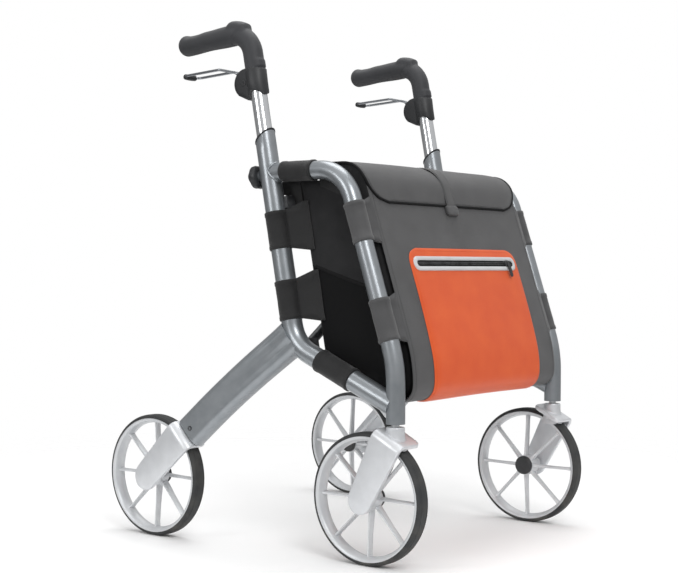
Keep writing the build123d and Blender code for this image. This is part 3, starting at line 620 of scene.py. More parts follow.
def place_on(obj, body, slot_name, *stands_for, finish=None, sharp=40.0, tidy=True):
    """Gives a finished mesh its finish, taken from its slot unless one is given, and its body, and hides the
    CAD nodes it stands for.
    """
    if tidy:
        tidy_mesh(obj.data)
    smooth_shade(obj.data, sharp)
    obj.data.materials.clear()
    obj.data.materials.append(finish or finishes[slot_name])
    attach(obj, body)
    if stands_for:
        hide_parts(*stands_for)
    return obj


def mirrored(points, sign):
    """Points made for the right side, moved across to the side that sign gives."""
    return [Vector((-sign * p.x, p.y, p.z)) for p in points]


def both_sides(name, parts, body, slot_name, stands_for=(), finish=None, sharp=40.0):
    """A piece for each side from one set of right-hand points."""
    points, faces = parts
    made = []
    for side, sign in SIDES:
        obj = mesh_object(f"{side}_{name}", mirrored(points, sign), faces)
        made.append(
            place_on(
                obj, f"{side}_{body}", slot_name, *[f"{side}_{n}" for n in stands_for], finish=finish,
                sharp=sharp
            )
        )
    return made


print("helpers ready")

# %% [markdown]
# ## Tyres
# Each tyre is solid foam rubber, rounded over its shoulders, with a shallow groove either side of the
# tread and a fine rib where it grips the rim. One turned outline gives all of that, and the four wheels
# differ only in where the outline is turned.

# %% Wheel centres and tyres
HUBS = {"front": at(AXLE_AHEAD, WHEEL_R, -FRAME_HALF), "rear": at(-AXLE_AHEAD, WHEEL_R, -REAR_TRACK)}
RIM_R = 94.4
tyre_section = [
    (-12.4, RIM_R - 0.6, 0.4), (-12.5, 96.0, 0.8), (-10.6, 98.9, 1.6), (-7.4, 99.9, 0.6),
    (-7.0, 99.3, 0.2), (-6.2, 99.3, 0.2), (-5.8, 99.98, 0.4), (5.8, 99.98, 0.4), (6.2, 99.3, 0.2),
    (7.0, 99.3, 0.2), (7.4, 99.9, 0.6), (10.6, 98.9, 1.6), (12.5, 96.0, 0.8), (12.4, RIM_R - 0.6, 0.4),
]
for which, hub in HUBS.items():
    tyre_parts = turned(rounded_outline(tyre_section, 3), hub, count=120)
    both_sides(
        f"{which}_tyre_cover", tyre_parts, f"{which}_wheel", "tyre_rubber", [f"{which}_tyre"], sharp=60.0
    )
print("4 tyres of", len(tyre_parts[1]), "faces")

# %% [markdown]
# ## Rims and spokes
# The rim is a wide moulded barrel with a proud lip on each side. Eight flat spokes lean from the inner end
# of the hub to the middle of the barrel, each with a raised rib along its front, so they show a light
# face and a shaded one. They repeat round the axle, which is a job for Geometry Nodes: one spoke mesh is
# placed on eight turned points, and the tree takes the count as a named input.

# %% One spoke and the barrel
rim_section = [
    (-12.3, 94.3, 0.3), (-12.3, 92.2, 0.8), (-11.0, 89.4, 1.2), (-8.0, 88.0, 1.5), (-2.0, 86.2, 1.5),
    (2.0, 86.2, 1.5), (8.0, 88.0, 1.5), (11.0, 89.4, 1.2), (12.3, 92.2, 0.8), (12.3, 94.3, 0.3),
]
hub_section = [
    (-13.9, 8.9, 0.2), (-13.9, 14.6, 0.6), (-13.0, 16.2, 1.0), (-6.0, 17.6, 1.6), (3.0, 17.2, 1.6),
    (10.8, 15.8, 1.0), (11.9, 14.6, 0.6), (11.9, 8.9, 0.2),
]


def spoke_parts(hub):
    """One spoke towards +Z from the hub: a rib on a thin web, wider at its root."""
    rings = []
    for share, wide, deep, out in (
        (0.0, 3.6, 6.6, -6.0), (0.12, 3.1, 6.2, -5.6), (0.5, 2.6, 5.2, -3.4), (0.86, 2.7, 5.0, -1.6),
        (1.0, 3.4, 5.6, -1.0)
    ):
        radius = 15.0 + share * 73.0
        ring = []
        for u, v in (
            (-1, -0.55), (-0.55, -1), (0.55, -1), (1, -0.55), (0.75, 0.35), (0.4, 1), (-0.4, 1),
            (-0.75, 0.35)
        ):
            ring.append(hub + Vector((-(out + v * deep) * MM, u * wide * MM, radius * MM)))
        rings.append(ring)
    return skin(rings)


def spoke_tree():
    """Places the mesh it is given on count points turned round the X axis through Centre."""
    tree = bpy.data.node_groups.new("spokes_round_a_hub", "GeometryNodeTree")
    for label, kind in (
        ("Geometry", "NodeSocketGeometry"), ("Count", "NodeSocketInt"), ("Centre", "NodeSocketVector"),
        ("Finish", "NodeSocketMaterial")
    ):
        tree.interface.new_socket(label, in_out="INPUT", socket_type=kind)
    tree.interface.new_socket("Geometry", in_out="OUTPUT", socket_type="NodeSocketGeometry")
    into, out = tree.nodes.new("NodeGroupInput"), tree.nodes.new("NodeGroupOutput")
    line = add_node(
        tree, "GeometryNodeMeshLine", {"Count": into.outputs["Count"], "Offset": (0, 0, 0)}, mode="OFFSET"
    )
    number = add_node(tree, "GeometryNodeInputIndex").outputs[0]
    step = add_node(tree, "ShaderNodeMath", {0: 2 * math.pi, 1: into.outputs["Count"]}, operation="DIVIDE")
    angle = add_node(tree, "ShaderNodeMath", {0: number, 1: step.outputs[0]}, operation="MULTIPLY")
    turn_by = add_node(tree, "ShaderNodeCombineXYZ", {0: angle.outputs[0]})
    back = add_node(
        tree, "ShaderNodeVectorMath", {0: into.outputs["Centre"], "Scale": -1.0}, operation="SCALE"
    )
    at_origin = add_node(
        tree, "GeometryNodeTransform",
        {"Geometry": into.outputs["Geometry"], "Translation": back.outputs[0]}
    )
    spread = add_node(
        tree, "GeometryNodeInstanceOnPoints",
        {"Points": line.outputs[0], "Instance": at_origin.outputs[0], "Rotation": turn_by.outputs[0]}
    )
    real = add_node(tree, "GeometryNodeRealizeInstances", {"Geometry": spread.outputs[0]})
    home = add_node(
        tree, "GeometryNodeTransform",
        {"Geometry": real.outputs[0], "Translation": into.outputs["Centre"]}
    )
    dressed = add_node(
        tree, "GeometryNodeSetMaterial", {"Geometry": home.outputs[0], "Material": into.outputs["Finish"]}
    )
    tree.links.new(dressed.outputs[0], out.inputs[0])
    return tree


def kept_mesh(obj):
    """Applies the modifiers of obj, so that it is a plain mesh again."""
    result = bpy.data.meshes.new_from_object(obj.evaluated_get(bpy.context.evaluated_depsgraph_get()))
    obj.modifiers.clear()
    obj.data = result
    return obj


def run_tree(obj, tree, **values):
    """Runs a Geometry Nodes tree on obj and keeps the result as its plain mesh."""
    modifier = obj.modifiers.new("tree", "NODES")
    modifier.node_group = tree
    for item in tree.interface.items_tree:
        if item.in_out == "INPUT" and item.name in values:
            modifier[item.identifier] = values[item.name]
    return kept_mesh(obj)


print("rim section of", len(rim_section), "corners and hub section of", len(hub_section))

# %% Four rims
spokes_tree = spoke_tree()
for which, hub in HUBS.items():
    for side, sign in SIDES:
        centre = Vector((-sign * hub.x, hub.y, hub.z))
        points, faces = spoke_parts(hub)
        spokes = mesh_object(f"{side}_{which}_spokes", mirrored(points, sign), faces)
        tidy_mesh(spokes.data)
        run_tree(spokes, spokes_tree, Count=8, Centre=centre, Finish=rim_metal)
        place_on(spokes, f"{side}_{which}_wheel", "rim_metal", sharp=50.0, tidy=False)
        barrel = gathered(
            [
                turned(rounded_outline(rim_section, 3), hub, count=120),
                turned(rounded_outline(hub_section, 3), hub, count=48)
            ]
        )
        rim = mesh_object(f"{side}_{which}_rim_barrel", mirrored(barrel[0], sign), barrel[1])
        place_on(rim, f"{side}_{which}_wheel", "rim_metal", f"{side}_{which}_rim", sharp=50.0)
print("rims with", len(spokes.data.polygons) // 8, "faces to a spoke")

# %% [markdown]
# ## Forks
# Each fork is one thick strap of aluminium: it starts flat over the tyre, turns down in a soft bend, and
# runs beside the wheel to a round end at the axle. A strap like that is a rounded rectangle carried along
# a short path, with its width and thickness changing on the way.

# %% Strap along a path
def rounded_rect(half_wide, half_deep, corner, steps=4):
    """Corner points of a rounded rectangle, as pairs of millimetres."""
    corner = min(corner, half_wide * 0.98, half_deep * 0.98)
    made = []
    for quarter, (sx, sy) in enumerate(((1, 1), (-1, 1), (-1, -1), (1, -1))):
        for k in range(steps + 1):
            t = math.pi / 2 * (quarter + k / steps)
            made.append(
                (
                    sx * (half_wide - corner) + corner * math.cos(t),
                    sy * (half_deep - corner) + corner * math.sin(t)
                )
            )
    return made


def fork_strap(hub, rise, outer_x, inner_x, tip_half, bend=9.0):
    """The strap of one right-hand fork, from its inner end over the tyre to its round tip at the hub."""
    up, out = way(rise), Vector((-1, 0, 0))
    wide = up.cross(out)
    base = Vector((0, hub.y, hub.z))
    crown_mid, crown_half, crown_thick, blade_thick = 106.3, 27.0, 3.2, 4.0
    blade_mid = outer_x - blade_thick
    rings = []

    def add(x, along, turn, half_wide, half_thick):
        mid = base + out * x * MM + up * along * MM
        normal = up * math.cos(turn) + out * math.sin(turn)
        rings.append(
            [
                mid + wide * a * MM + normal * b * MM
                for a, b in rounded_rect(half_wide, half_thick, 1.9, 3)
            ]
        )

    for share in (0.0, 0.04, 0.12, 0.24, 0.4, 0.62, 1.0):
        x = inner_x + share * (blade_mid - bend - inner_x)
        trim = max(0.0, 1 - share / 0.24)
        add(x, crown_mid, 0.0, crown_half - 9.0 * (1 - math.sqrt(max(0.0, 1 - trim ** 2))), crown_thick)
    for k in range(1, 8):
        t = math.pi / 2 * k / 8
        add(blade_mid - bend + bend * math.sin(t), crown_mid - bend + bend * math.cos(t), t, crown_half,
            crown_thick + (blade_thick - crown_thick) * k / 8)
    top = crown_mid - bend
    for k in range(13):
        along = top * (1 - k / 12)
        add(blade_mid, along, math.pi / 2, tip_half + (crown_half - tip_half) * along / top, blade_thick)
    for k in range(1, 10):
        t = math.pi / 2 * k / 9.4
        add(blade_mid, -tip_half * math.sin(t), math.pi / 2, tip_half * math.cos(t), blade_thick)
    return skin(rings)


print("one rounded section of", len(rounded_rect(27.0, 3.2, 1.9, 3)), "points")

# %% Rear forks
def axle_boss(hub, outer_x):
    """The round spacer between the strap and the wheel bearing."""
    gap = (outer_x - 7.8 - abs(hub.x) / MM, 12.6)
    outline = rounded_outline(
        [
            (gap[1], 6.3, 0.2), (gap[1], 10.2, 0.8), (gap[0] - 1.5, 11.4, 1.2), (gap[0], 13.0, 0.2),
            (gap[0], 6.3, 0)
        ], 2
    )
    return turned(outline, hub, count=40)


rear_parts = gathered(
    [fork_strap(HUBS["rear"], LEG_ANGLE, 297.0, 253.0, 23.0), axle_boss(HUBS["rear"], 297.0)]
)
both_sides("rear_fork_strap", rear_parts, "frame", "fork_metal", ["rear_fork"], sharp=50.0)
print("rear forks of", len(rear_parts[1]), "faces")

# %% [markdown]
# ## Swivel forks
# The front forks turn, so each has a round neck above its crown that meets the rubber seal under the tube.
# The neck widens a little where it is cast onto the crown, and a small stop boss sits on the inner side.

# %% Front forks
neck_axis = Vector((0, 0, 1))
neck_foot = at(CASTER_AHEAD, 176.0, -FRAME_HALF)
neck_section = [
    (0.0, 3.0, 0), (0.0, 17.5, 0.5), (12.5, 16.6, 1.5), (19.0, 14.6, 3.0), (25.0, 13.9, 1.0),
    (33.6, 13.9, 0.9), (34.6, 12.9, 0.4), (34.6, 3.0, 0)
]
neck = turned(rounded_outline(neck_section, 4), neck_foot, neck_axis, 56)
stop_foot = at(CASTER_AHEAD + 1.0, 189.0, -FRAME_HALF + 11.0)
stop_section = [(0.0, 0.5, 0), (0.0, 6.2, 0.3), (5.2, 5.8, 2.2), (7.4, 3.0, 1.5), (7.6, 0.5, 0)]
stop = turned(rounded_outline(stop_section, 3), stop_foot, Vector((1, 0, 0)), 28)
stem = turned(
    [(-3.0, 0.4), (-3.0, 5.9), (62.0, 5.9), (62.0, 0.4)], at(CASTER_AHEAD, 211.0, -FRAME_HALF), neck_axis,
    24
)
front_parts = gathered(
    [
        fork_strap(HUBS["front"], FORK_ANGLE, 261.0, 207.0, 21.0), axle_boss(HUBS["front"], 261.0), neck,
        stop, stem,
    ]
)
both_sides("caster_fork_cast", front_parts, "caster", "fork_metal", ["caster_fork"], sharp=50.0)
print("swivel forks of", len(front_parts[1]), "faces")

# %% [markdown]
# ## Rear legs
# The leg is a deep oval aluminium extrusion, gently bent below the frame. Pressing it at its upper end
# leaves a ridge along its side that fades out halfway down. The skin below keeps one rounded section
# and moves its side points outwards by an amount that shrinks along the leg.

# %% Leg skins
FORK_TOP, KNEE_RUN, LEG_ROOT = 109.6, 217.7, (59.2, 336.5)
LEG_HALF_WIDE, LEG_HALF_DEEP = 15.5, 27.5


def leg_line(steps=40):
    """Centre points and directions of the right leg, from the fork up to the frame."""
    foot = HUBS["rear"] + way(LEG_ANGLE) * FORK_TOP * MM
    root = at(*LEG_ROOT, -FRAME_HALF)
    knee_side = HUBS["rear"] + way(LEG_ANGLE) * KNEE_RUN * MM
    share = (root.y - knee_side.y) / (root.y - foot.y)
    knee = Vector((root.x + share * (foot.x - root.x), knee_side.y, knee_side.z))
    reach = 68.0 * MM
    bend_in = knee + (foot - knee).normalized() * reach
    bend_out = knee + (root - knee).normalized() * reach
    line = [foot.lerp(bend_in, k / 8) for k in range(8)]
    handle = 0.62
    line += interpolate_bezier(
        bend_in, bend_in.lerp(knee, handle), bend_out.lerp(knee, handle), bend_out, steps // 2
    )
    line += [bend_out.lerp(root, k / 14) for k in range(1, 15)]
    return line


def with_side_points(outline, spacing):
    """The same outline with points added wherever two neighbours are further apart than spacing."""
    made = []
    for here, there in zip(outline, outline[1:] + outline[:1]):
        count = max(1, math.ceil(math.dist(here, there) / spacing))
        made += [
            (here[0] + (there[0] - here[0]) * k / count, here[1] + (there[1] - here[1]) * k / count)
            for k in range(count)
        ]
    return made


LEG_SECTION = with_side_points(rounded_rect(LEG_HALF_WIDE, LEG_HALF_DEEP, 13.0, 7), 2.6)


def leg_skin():
    line = leg_line()
    lengths = [0.0]
    for a, b in zip(line, line[1:]):
        lengths.append(lengths[-1] + (b - a).length)
    rings = []
    for i, mid in enumerate(line):
        share = lengths[i] / lengths[-1]
        ahead = (line[min(i + 1, len(line) - 1)] - line[max(i - 1, 0)]).normalized()
        side = (Vector((1, 0, 0)) - ahead * ahead.x).normalized()
        deep = ahead.cross(side)
        ridge = 5.2 * max(0.0, (share - 0.42) / 0.58) ** 1.3
        flare = 0.8 * max(0.0, (share - 0.86) / 0.14) ** 2
        ring = []
        for a, b in LEG_SECTION:
            lift = max(0.0, 1 - abs(b - 1.5) / 17.0)
            flat = ridge * (lift - 0.45 * (1 - lift))
            across = a + math.copysign(flat, a) * min(1.0, abs(a) / 9.0)
            ring.append(
                mid + side * (across * (1 + flare / LEG_HALF_WIDE)) * MM
                + deep * (b * (1 + flare / LEG_HALF_DEEP)) * MM
            )
        rings.append(ring)
    lip = [p + (line[1] - line[0]).normalized() * -0.4 * MM for p in rings[0]]
    centre = sum(rings[0], Vector()) / len(rings[0])
    rings.insert(0, [centre.lerp(p, 0.965) for p in lip])
    return skin(rings)


leg_parts = leg_skin()
both_sides("leg_extrusion", leg_parts, "frame", "frame_paint", ["rear_leg"], sharp=35.0)
print("legs of", len(leg_parts[1]), "faces")

# %% [markdown]
# ## Grips
# Each grip is soft rubber moulded over a bent tube. The hand part is a little fatter than the neck, and
# ends at a sloping seam with a raised thumb rest on top. A run of rings along the bent line gives all of it:
# the thumb rest, the seam and the shallow scoop near the end are small changes to each ring's radius.

# %% Lines and tubes
def bent_path(corners, spacing):
    """Evenly spaced points through 3-D corners (point, radius), rounded at each inner corner."""
    path = [corners[0][0]]
    for (before, _), (here, radius), (after, _) in zip(corners, corners[1:], corners[2:]):
        back, on = (before - here).normalized(), (after - here).normalized()
        half = back.angle(on) / 2
        centre = here + (back + on).normalized() * (radius * MM / math.sin(half))
        start, end = (here + arm * (radius * MM / math.tan(half)) - centre for arm in (back, on))
        path += [centre + start.lerp(end, k / 12).normalized() * radius * MM for k in range(13)]
    path.append(corners[-1][0])
    lengths = [0.0]
    for a, b in zip(path, path[1:]):
        lengths.append(lengths[-1] + (b - a).length)
    count = max(2, math.ceil(lengths[-1] / (spacing * MM)))
    line, i = [], 0
    for k in range(count + 1):
        reach = lengths[-1] * k / count
        while i < len(path) - 2 and lengths[i + 1] < reach:
            i += 1
        line.append(path[i].lerp(path[i + 1], (reach - lengths[i]) / max(1e-9, lengths[i + 1] - lengths[i])))
    return line


def tube_along(line, radius, count=20, across=Vector((1, 0, 0))):
    """A round tube along a line; radius is millimetres from (distance run, angle), angle 90 being upwards."""
    rings, run = [], 0.0
    for k, mid in enumerate(line):
        ahead = (line[min(k + 1, len(line) - 1)] - line[max(k - 1, 0)]).normalized()
        side = (across - ahead * ahead.dot(across)).normalized()
        up = side.cross(ahead)
        if k:
            run += (mid - line[k - 1]).length / MM
        ring = []
        for j in range(count):
            t = 2 * math.pi * j / count
            ring.append(mid + (side * math.cos(t) + up * math.sin(t)) * radius(run, t) * MM)
        rings.append(ring)
    return skin(rings)


straight = tube_along([Vector((0, 0, 0)), Vector((0, 0, 0.1))], lambda run, angle: 1.0, 8)
print("the shortest tube has", len(straight[1]), "faces")

# %% Grip covers
GRIP_TOP, GRIP_END = 821.0, (-187.0, 810.5)
grip_line = bent_path([
    (at(post_ahead(757.0), 757.0, -FRAME_HALF), 0), (at(post_ahead(GRIP_TOP), GRIP_TOP, -FRAME_HALF), 40.0),
    (at(*GRIP_END, -FRAME_HALF), 0),
], 1.7)
grip_length = sum((b - a).length for a, b in zip(grip_line, grip_line[1:])) / MM
SEAM_RUN = 74.0


def smooth_step(value, low, high):
    share = min(1.0, max(0.0, (value - low) / (high - low)))
    return share * share * (3 - 2 * share)


def grip_radius(run, angle):
    """Neck, seam, thumb rest, waist, scoop and round end of the rubber cover."""
    top = math.sin(angle)
    seam_at = SEAM_RUN - 10.0 * top
    radius = 16.2 + 1.0 * smooth_step(run, seam_at - 1.2, seam_at + 1.2)
    radius -= 0.9 * math.exp(-((run - seam_at) / 1.1) ** 2)
    rest = smooth_step(run, 62.0, 67.0) * (1 - smooth_step(run, 85.0, 98.0)) * smooth_step(top, 0.45, 0.95)
    hood = smooth_step(top, 0.5, 0.95) * smooth_step(run, 3.0, 5.0) * (1 - smooth_step(run, 14.0, 19.0))
    radius += 5.6 * rest + 1.7 * hood
    radius -= 1.12 * math.sin(math.pi * smooth_step(run, 98.0, grip_length - 22.0))
    scoop = smooth_step(run, grip_length - 62.0, grip_length - 36.0)
    scoop *= 1 - smooth_step(run, grip_length - 26.0, grip_length - 12.0)
    radius -= 2.4 * scoop * smooth_step(top, 0.2, 0.9)
    left = max(0.0, 14.0 - (grip_length - run))
    return max(0.6, radius * math.sqrt(max(0.0, 1 - (left / 14.4) ** 2)))


grip_parts = tube_along(grip_line, grip_radius, 40)
both_sides("grip_cover", grip_parts, "handle", "grip_rubber", ["grip"], sharp=70.0)
print("grips of", len(grip_parts[1]), "faces,", round(grip_length), "mm long")

# %% [markdown]
# ## Brake housings
# The housing is a moulded collar round the tube with a round cheek behind it, drawn down to a point, where
# the brake lever turns. Its lower edge is scalloped. The collar is a set of rings whose ends follow a wave,
# and the cheek is one outline carried across with its edges rounded over.

# %% Collar and cheek
HOUSING_UP = 738.0
POST_AHEAD = way(POST_LEAN)


def collar():
    """A sleeve round the post whose upper edge arches and whose lower edge is scalloped."""
    count = 56
    middle = at(post_ahead(HOUSING_UP), HOUSING_UP, -FRAME_HALF)
    rings = []
    for radius, reach in (
        (13.05, 1.0), (15.4, 1.0), (16.4, 0.97), (16.9, 0.9), (17.1, 0.0), (16.9, -0.9), (16.5, -0.97),
        (13.05, -1.0)
    ):
        ring = []
        for k in range(count):
            t = 2 * math.pi * k / count
            front = math.cos(t)
            upper = 22.0 - 1.6 * math.cos(2 * t)
            lower = -17.0 - 3.5 * math.cos(2 * t)
            lower -= 5.0 * smooth_step(-front, 0.4, 1.0) + 1.5 * smooth_step(front, 0.7, 1.0)
            along = upper * reach if reach > 0 else -lower * reach
            swell = 1.3 * smooth_step(front, 0.5, 1.0) * smooth_step(reach, 0.2, 0.8)
            outer = math.sin(t) > 0 and abs(reach) < 0.95
            ridge = 0.5 * math.exp(-((front + 0.1) / 0.16) ** 2) if outer else 0.0
            here = POST_AHEAD * math.cos(t) + Vector((-1, 0, 0)) * math.sin(t)
            ring.append(middle + here * (radius + swell + ridge) * MM + POST_UP * along * MM)
        rings.append(ring)
    return skin(rings, loop=True)


def cheek():
    """The round cheek with its lower point, from its outline in the side view."""
    centre, tip = Vector((-36.0, HOUSING_UP)), Vector((-29.5, 710.5))
    outline = []
    for k in range(49):
        t = math.radians(322.0 * k / 48 - 90.0)
        outline.append(centre + Vector((math.cos(t), math.sin(t))) * 24.0)
    outline = [p for p in outline if p.y >= 716.5 or p.x <= -44]
    outline += [tip + Vector((-1.5, 0.3)), tip + Vector((1.5, 0.8))]
    middle = sum(outline, Vector((0, 0))) / len(outline)
    outline.sort(key=lambda p: math.atan2(p.y - middle.y, p.x - middle.x))
    rings = []
    for x, inset in (
        (-12.4, 7.0), (-12.0, 3.0), (-10.8, 1.0), (-8.5, 0.0), (8.5, 0.0), (10.8, 1.0), (12.0, 3.0),
        (12.4, 7.0)
    ):
        rings.append(
            [
                at(
                    p.x + (middle.x - p.x) * inset / 24, p.y + (middle.y - p.y) * inset / 24,
                    -FRAME_HALF + x
                ) for p in outline
            ]
        )
    return skin(rings)


screw_at = at(-38.0, HOUSING_UP, -FRAME_HALF - 12.2)
screw_cap = turned(
    rounded_outline(
        [
            (0.0, 0.4, 0), (0.0, 5.2, 0.2), (1.3, 4.9, 0.6), (1.3, 2.4, 0.2), (0.5, 2.1, 0.1),
            (0.5, 0.4, 0)
        ], 2
    ), screw_at, Vector((-1, 0, 0)), 24
)
housing_parts = gathered([collar(), cheek(), screw_cap])
both_sides("brake_housing_shell", housing_parts, "handle", "black_plastic", ["brake_housing"], sharp=48.0)
print("housings of", len(housing_parts[1]), "faces")

# %% [markdown]
# ## Brake levers
# The lever is one loop of bright wire with a black plastic tip over its far end. The wire goes round an open
# path: out from the housing, spread to the width of four fingers, and back.

# %% Wire loop and tip
LEVER_END, LEVER_HALF = (-168.0, 759.0), 17.0
wire_corners = [
    ((-47.0, 741.0), -2.4, 0), ((-62.0, 757.5), -2.6, 8.0), ((-86.0, 763.0), -LEVER_HALF, 10.0),
    (LEVER_END, -LEVER_HALF, 12.0), (LEVER_END, LEVER_HALF, 12.0), ((-86.0, 763.0), LEVER_HALF, 10.0),
    ((-62.0, 757.5), 2.6, 8.0), ((-47.0, 741.0), 2.4, 0),
]
wire_line = bent_path(
    [(at(*place, across - FRAME_HALF), radius) for place, across, radius in wire_corners], 2.2
)
wire_parts = tube_along(wire_line, lambda run, angle: 2.2, 12, Vector((0, 0.3, 1)))
boss_section = rounded_outline([(-4.0, 2.0, 0), (-4.0, 8.0, 0.6), (4.0, 8.0, 0.6), (4.0, 2.0, 0)], 2)
lever_boss = turned(boss_section, at(-47.0, 739.0, -FRAME_HALF), count=32)
both_sides(
    "lever_wire_loop", gathered([wire_parts, lever_boss]), "lever", "lever_wire", ["brake_lever"],
    sharp=60.0
)
tip_section = [
    (-12.5, 0.4, 0), (-12.5, 4.4, 1.6), (-4.0, 5.0, 2.0), (4.0, 5.0, 2.0), (12.5, 4.4, 1.6),
    (12.5, 0.4, 0)
]
both_sides(
    "lever_tip", turned(rounded_outline(tip_section, 4), at(*LEVER_END, -FRAME_HALF), count=24), "lever",
    "black_plastic", sharp=60.0
)
print("lever wire of", len(wire_line), "points")

# %% [markdown]
# ## Height knobs
# A lobed plastic knob behind each post clamps the handle at its height. Its outline is a circle with six
# soft waves, and it domes over towards its back.

# %% Knobs
KNOB_UP = 593.0


def knob_head():
    base = at(post_ahead(KNOB_UP), KNOB_UP, -FRAME_HALF) - POST_AHEAD * (POST_R + 4.0) * MM
    rings = []
    for along, radius, wave in (
        (0.0, 9.0, 0.0), (0.0, 15.0, 0.2), (1.2, 17.2, 0.5), (2.8, 18.6, 0.9), (9.0, 18.4, 0.9),
        (11.4, 17.2, 0.7), (13.0, 14.6, 0.4), (13.6, 10.0, 0.1), (13.0, 8.6, 0.0), (13.0, 3.0, 0.0)
    ):
        ring = []
        for k in range(72):
            t = 2 * math.pi * k / 72
            here = Vector((1, 0, 0)) * math.cos(t) + POST_UP * math.sin(t)
            ring.append(base - POST_AHEAD * along * MM + here * (radius + wave * math.cos(6 * t)) * MM)
        rings.append(ring)
    return skin(rings)


stem_start = at(post_ahead(KNOB_UP), KNOB_UP, -FRAME_HALF) - POST_AHEAD * 13.5 * MM
stem = turned([(0.0, 0.4), (0.0, 4.0), (9.0, 4.0), (9.0, 0.4)], stem_start, -POST_AHEAD, 20)
both_sides(
    "height_knob_head", gathered([knob_head(), stem]), "knob", "black_plastic", ["height_knob"],
    sharp=45.0
)
print("knobs at", KNOB_UP, "mm up")

# %% [markdown]
# ## Main tubes
# One long tube on each side is the post above and the rail below. Its top is cut on a slope, lower behind,
# and a dark plastic bush lines the opening where the bright height tube slides in. The slope is only a
# shift of the first rings along the post, more at the front of each ring than at its back.

# %% Post and rail in one
POST_TOP, CUT_FALL, TUBE_WALL = 650.0, 10.0, 2.0
CUT_DEPTH, TUBE_SIDES = 22.0, 40


def slope_cut(ring, middle, depth):
    """A ring moved along the post so that it lies depth mm below the sloping cut."""
    return [
        p + POST_UP * ((p - middle).dot(POST_AHEAD) / (POST_R * MM) * CUT_FALL - depth) * MM for p in ring
    ]


post_top = at(post_ahead(POST_TOP), POST_TOP, -FRAME_HALF)
tube_line = bent_path([
    (post_top - POST_UP * CUT_DEPTH * MM, 0), (at(*POST_FOOT, -FRAME_HALF), 60.0),
    (at(CASTER_AHEAD - 4.0, rail_up(CASTER_AHEAD - 4.0), -FRAME_HALF), 0),
], 7.0)
body_points = tube_along(tube_line, lambda run, angle: POST_R, TUBE_SIDES)[0]
body_rings = [body_points[k * TUBE_SIDES:(k + 1) * TUBE_SIDES] for k in range(len(tube_line))]
start_ring = body_rings[0]


def like_start(radius, depth):
    """The tube's first ring, scaled to radius and set at the sloping cut."""
    middle = post_top - POST_UP * CUT_DEPTH * MM
    ring = [middle + (p - middle) * radius / POST_R + POST_UP * CUT_DEPTH * MM for p in start_ring]
    return slope_cut(ring, post_top, depth)


inside = [
    [p - POST_UP * 60.0 * MM for p in like_start(POST_R - TUBE_WALL, 0.0)],
    like_start(POST_R - TUBE_WALL, 0.6)
]
outside = [like_start(POST_R - 0.6, 0.0), like_start(POST_R, 0.7)]
main_parts = skin(inside + outside + body_rings)
boss_foot = at(post_ahead(KNOB_UP), KNOB_UP, -FRAME_HALF) - POST_AHEAD * (POST_R - 1.5) * MM
boss = turned(
    rounded_outline(
        [(0.0, 0.4, 0), (0.0, 10.4, 0.2), (2.4, 9.2, 1.2), (6.0, 9.0, 0.6), (6.0, 0.4, 0)], 2
    ), boss_foot, -POST_AHEAD, 32
)
both_sides("main_tube_bent", gathered([main_parts, boss]), "frame", "frame_paint", ["main_tube"], sharp=50.0)

bush_rings = [
    like_start(13.1, 30.0), like_start(13.1, -2.2), like_start(13.6, -2.9), like_start(16.2, -2.9),
    like_start(17.1, -2.3), like_start(17.2, -0.4), like_start(16.6, 0.1), like_start(14.4, 0.1),
    like_start(14.4, 30.0)
]
both_sides(
    "post_bush_ring", skin(bush_rings, loop=True), "frame", "black_plastic", ["tube_bushes"], sharp=45.0
)
print("main tubes of", len(main_parts[1]), "faces")

# %% [markdown]
# ## Welds
# The top of each hoop is welded to its post. The bead runs round where one round tube meets the other, a
# curve that a short formula gives, and its small ripples come from a slow wave in its radius.

# %% Weld beads
def meeting_line(up_mid, tube_r, post_r):
    """Where a level tube of one radius meets the leaning post."""
    line = []
    for k in range(73):
        t = 2 * math.pi * k / 72
        x, z = tube_r * math.cos(t), up_mid + tube_r * math.sin(t)
        forward = math.sqrt(post_r ** 2 - min(abs(x), post_r - 0.2) ** 2)
        ahead = post_ahead(z) + forward / math.cos(math.radians(POST_LEAN))
        line.append(at(ahead, z, -FRAME_HALF + x))
    return line


bead_line = meeting_line(HOOP_TOP, HOOP_R + 0.3, POST_R)
bead = tube_along(bead_line, lambda run, angle: 1.9 + 0.22 * math.sin(run * 2.1), 10, Vector((0.3, -0.2, 1)))
both_sides("hoop_weld", bead, "frame", "frame_paint", sharp=70.0)
print("levers, knobs and welds done")

# %% [markdown]
# ## The bag's lines
# The bag hangs between the side frames. Seen from the side, its front runs down in front of the hoops, its
# base slopes back along the lower tubes, and its back stands just ahead of the posts. Each run is a line
# with round bends, and a panel is a grid laid along such a line.

# %% Lines in the side view
PANEL_OUT, BACK_OUT, PANEL_HALF, BASE_CORNER = 15.5, 32.0, 214.0, 230.1


def base_up(ahead, below=0.0):
    rise = math.tan(math.radians(RAIL_DROP)) * (CASTER_AHEAD + PANEL_OUT - ahead)
    return BASE_CORNER + rise - below


def back_ahead(up):
    return post_ahead(up) + BACK_OUT / math.cos(math.radians(POST_LEAN))


def front_corners(offset, top, foot):
    """The bag's front in front of the hoop axis by offset: down the slant, then straight down to foot."""
    shift = offset / math.cos(math.radians(HOOP_SLANT))
    front = CASTER_AHEAD + offset
    knee = HOOP_TOP - (front - HOOP_CORNER - shift) / math.tan(math.radians(HOOP_SLANT))
    return [(hoop_ahead(top) + shift, top, 0), (front, knee, 200.0), (front, foot, 28.0)]


